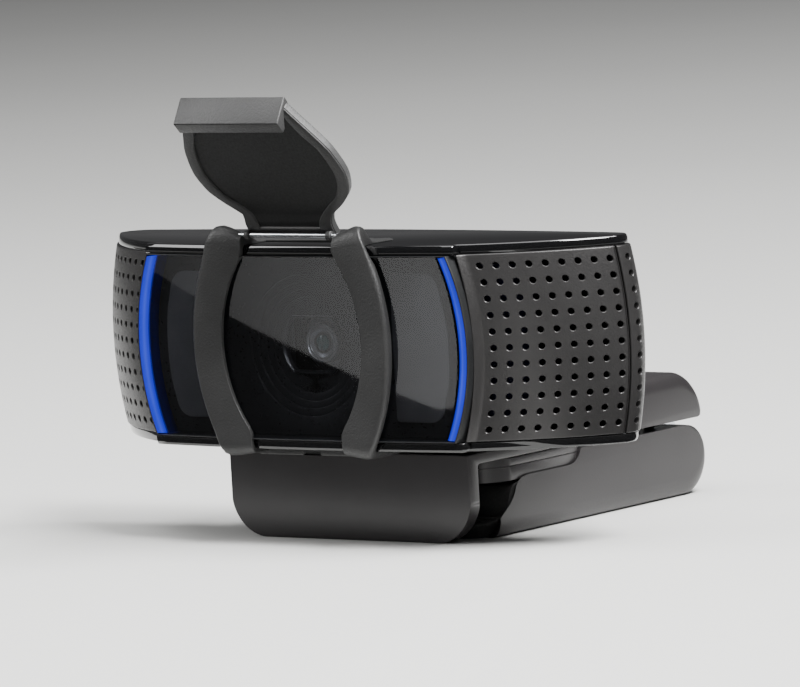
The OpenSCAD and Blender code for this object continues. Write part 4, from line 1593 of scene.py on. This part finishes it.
def build_camera():
    camera = bpy.data.objects.new("camera", bpy.data.cameras.new("camera"))
    bpy.context.scene.collection.objects.link(camera)
    camera.data.lens = CAMERA_LENS
    camera.data.sensor_width = 36
    camera.data.clip_start = 0.01
    towards = direction(CAMERA_AZ, CAMERA_EL)
    place = Vector(to_row([CAMERA_TARGET])[0]) + towards * CAMERA_DISTANCE * MM
    side = (-towards).cross(Vector((0, 0, 1))).normalized()
    up = side.cross(-towards)
    roll = math.radians(CAMERA_ROLL)
    right = side * math.cos(roll) + up * math.sin(roll)
    top = up * math.cos(roll) - side * math.sin(roll)
    basis = Matrix((right, top, towards)).transposed()
    camera.matrix_world = Matrix.Translation(place) @ basis.to_4x4()
    bpy.context.scene.camera = camera


# Metres. The point that the lights aim at.
CENTRE = Vector((0.0, -0.005, 0.028))
CARD_REACH = 0.6
CARD_HEIGHT = 0.0006


def softbox(name, azimuth, elevation, distance, width, height, power):
    """A rectangular light that aims at the centre. Angles are in degrees, sizes in metres."""
    light = bpy.data.lights.new(name, "AREA")
    light.shape = "RECTANGLE"
    light.size = width
    light.size_y = height
    light.energy = power
    obj = bpy.data.objects.new(name, light)
    bpy.context.scene.collection.objects.link(obj)
    towards = direction(azimuth, elevation)
    obj.location = CENTRE + towards * distance
    obj.rotation_euler = towards.to_track_quat("Z", "Y").to_euler()
    obj.visible_camera = False
    return obj


def only_for(light, *names):
    """Lets a light fall on the named pieces alone."""
    linked = bpy.data.collections.new(light.name + "_for")
    for name in names:
        linked.objects.link(bpy.data.objects[name])
    light.light_linking.receiver_collection = linked


def dark_card(name, first, last, near, velvet):
    """A black card lying on the floor. Only the glossy parts see it, so that they stay deep black."""
    rim = [direction(a, 0) * CARD_REACH for a in range(first, last + 1, 10)]
    plan = [near[0]] + [(p.x, p.y) for p in rim] + [near[1]]
    mesh = bpy.data.meshes.new(name)
    mesh.from_pydata([(x, y, CARD_HEIGHT) for x, y in plan], [], [tuple(range(len(plan)))])
    card = bpy.data.objects.new(name, mesh)
    bpy.context.scene.collection.objects.link(card)
    mesh.materials.append(velvet)
    for kind in ("camera", "diffuse", "shadow", "transmission"):
        setattr(card, f"visible_{kind}", False)


FLOOR_HALF = 6.0


def build_floor():
    size = FLOOR_HALF
    corners = [(-size, -size, 0), (size, -size, 0), (size, size, 0), (-size, size, 0)]
    mesh = bpy.data.meshes.new("floor")
    mesh.from_pydata(corners, [], [(0, 1, 2, 3)])
    floor = bpy.data.objects.new("floor", mesh)
    bpy.context.scene.collection.objects.link(floor)
    paper = finish_material("pale_paper", "#c6c6c4", "#cbcbc9", 0.85, 0.05, patch_mm=400, grain_mm=3)
    mesh.materials.append(paper)


def build_room_light():
    world = bpy.data.worlds.new("studio")
    bpy.context.scene.world = world
    world.use_nodes = True
    background = world.node_tree.nodes["Background"]
    background.inputs["Color"].default_value = srgb("#dcdcde")
    background.inputs["Strength"].default_value = 0.13


def build_window_strip():
    """A strip in front on the left. The window mirrors it, up to a slanting edge across the lens."""
    strip = softbox("window_strip", -37, 0, 0.2, 0.28, 0.034, 0.011)
    strip.location.z = 0.0305
    strip.rotation_euler = direction(-24, 0).to_track_quat("Z", "Y").to_euler()
    strip.rotation_euler.rotate_axis("Z", math.radians(-9.7))
    strip.data.spread = math.radians(68)
    only_for(strip, "front_window")


def build_lights():
    softbox("overhead", 20, 80, 1.1, 1.3, 1.1, 21)
    softbox("key_left", -58, 30, 0.9, 0.4, 0.5, 4.5)
    softbox("key_right", 66, 52, 0.8, 0.2, 0.3, 13)
    softbox("rim_right", 100, 55, 0.8, 0.3, 0.2, 8)
    flap_edge = softbox("flap_edge_light", 98, 44, 0.7, 0.5, 0.5, 22)
    only_for(flap_edge, "shutter_flap_moulding")
    build_window_strip()
    lens_light = softbox("lens_light", 52, 30, 0.5, 0.2, 0.2, 3.2)
    only_for(lens_light, "lens_barrel_turned", "lens_retainer_ring", "aperture_plate", "stepped_lens_mask")


def build_dark_cards():
    velvet = finish_material("black_velvet_card", "#020202", "#040404", 0.95, 0.03)
    dark_card("dark_card_front", -100, 20, [(-0.03, -0.046), (0.05, -0.046)], velvet)
    dark_card("dark_card_side", 30, 150, [(0.05, -0.03), (0.05, 0.05)], velvet)


# ---------------------------------------------------------------------------
build_camera()
build_shells()
build_trims()
build_bezel()
build_window()
build_strips()
build_panels()
build_surround()
build_aperture()
build_barrel()
build_retainer()
build_front_lens()
build_shutter_frame()
build_shutter_pin()
build_flap()
build_clip_arm()
build_platform_pad()
build_jaw_pad()
build_leg()
build_leg_nose()
build_leg_grip()
build_insert()
build_gland()
dress_carried_nodes()
build_floor()
build_room_light()
build_lights()
build_dark_cards()
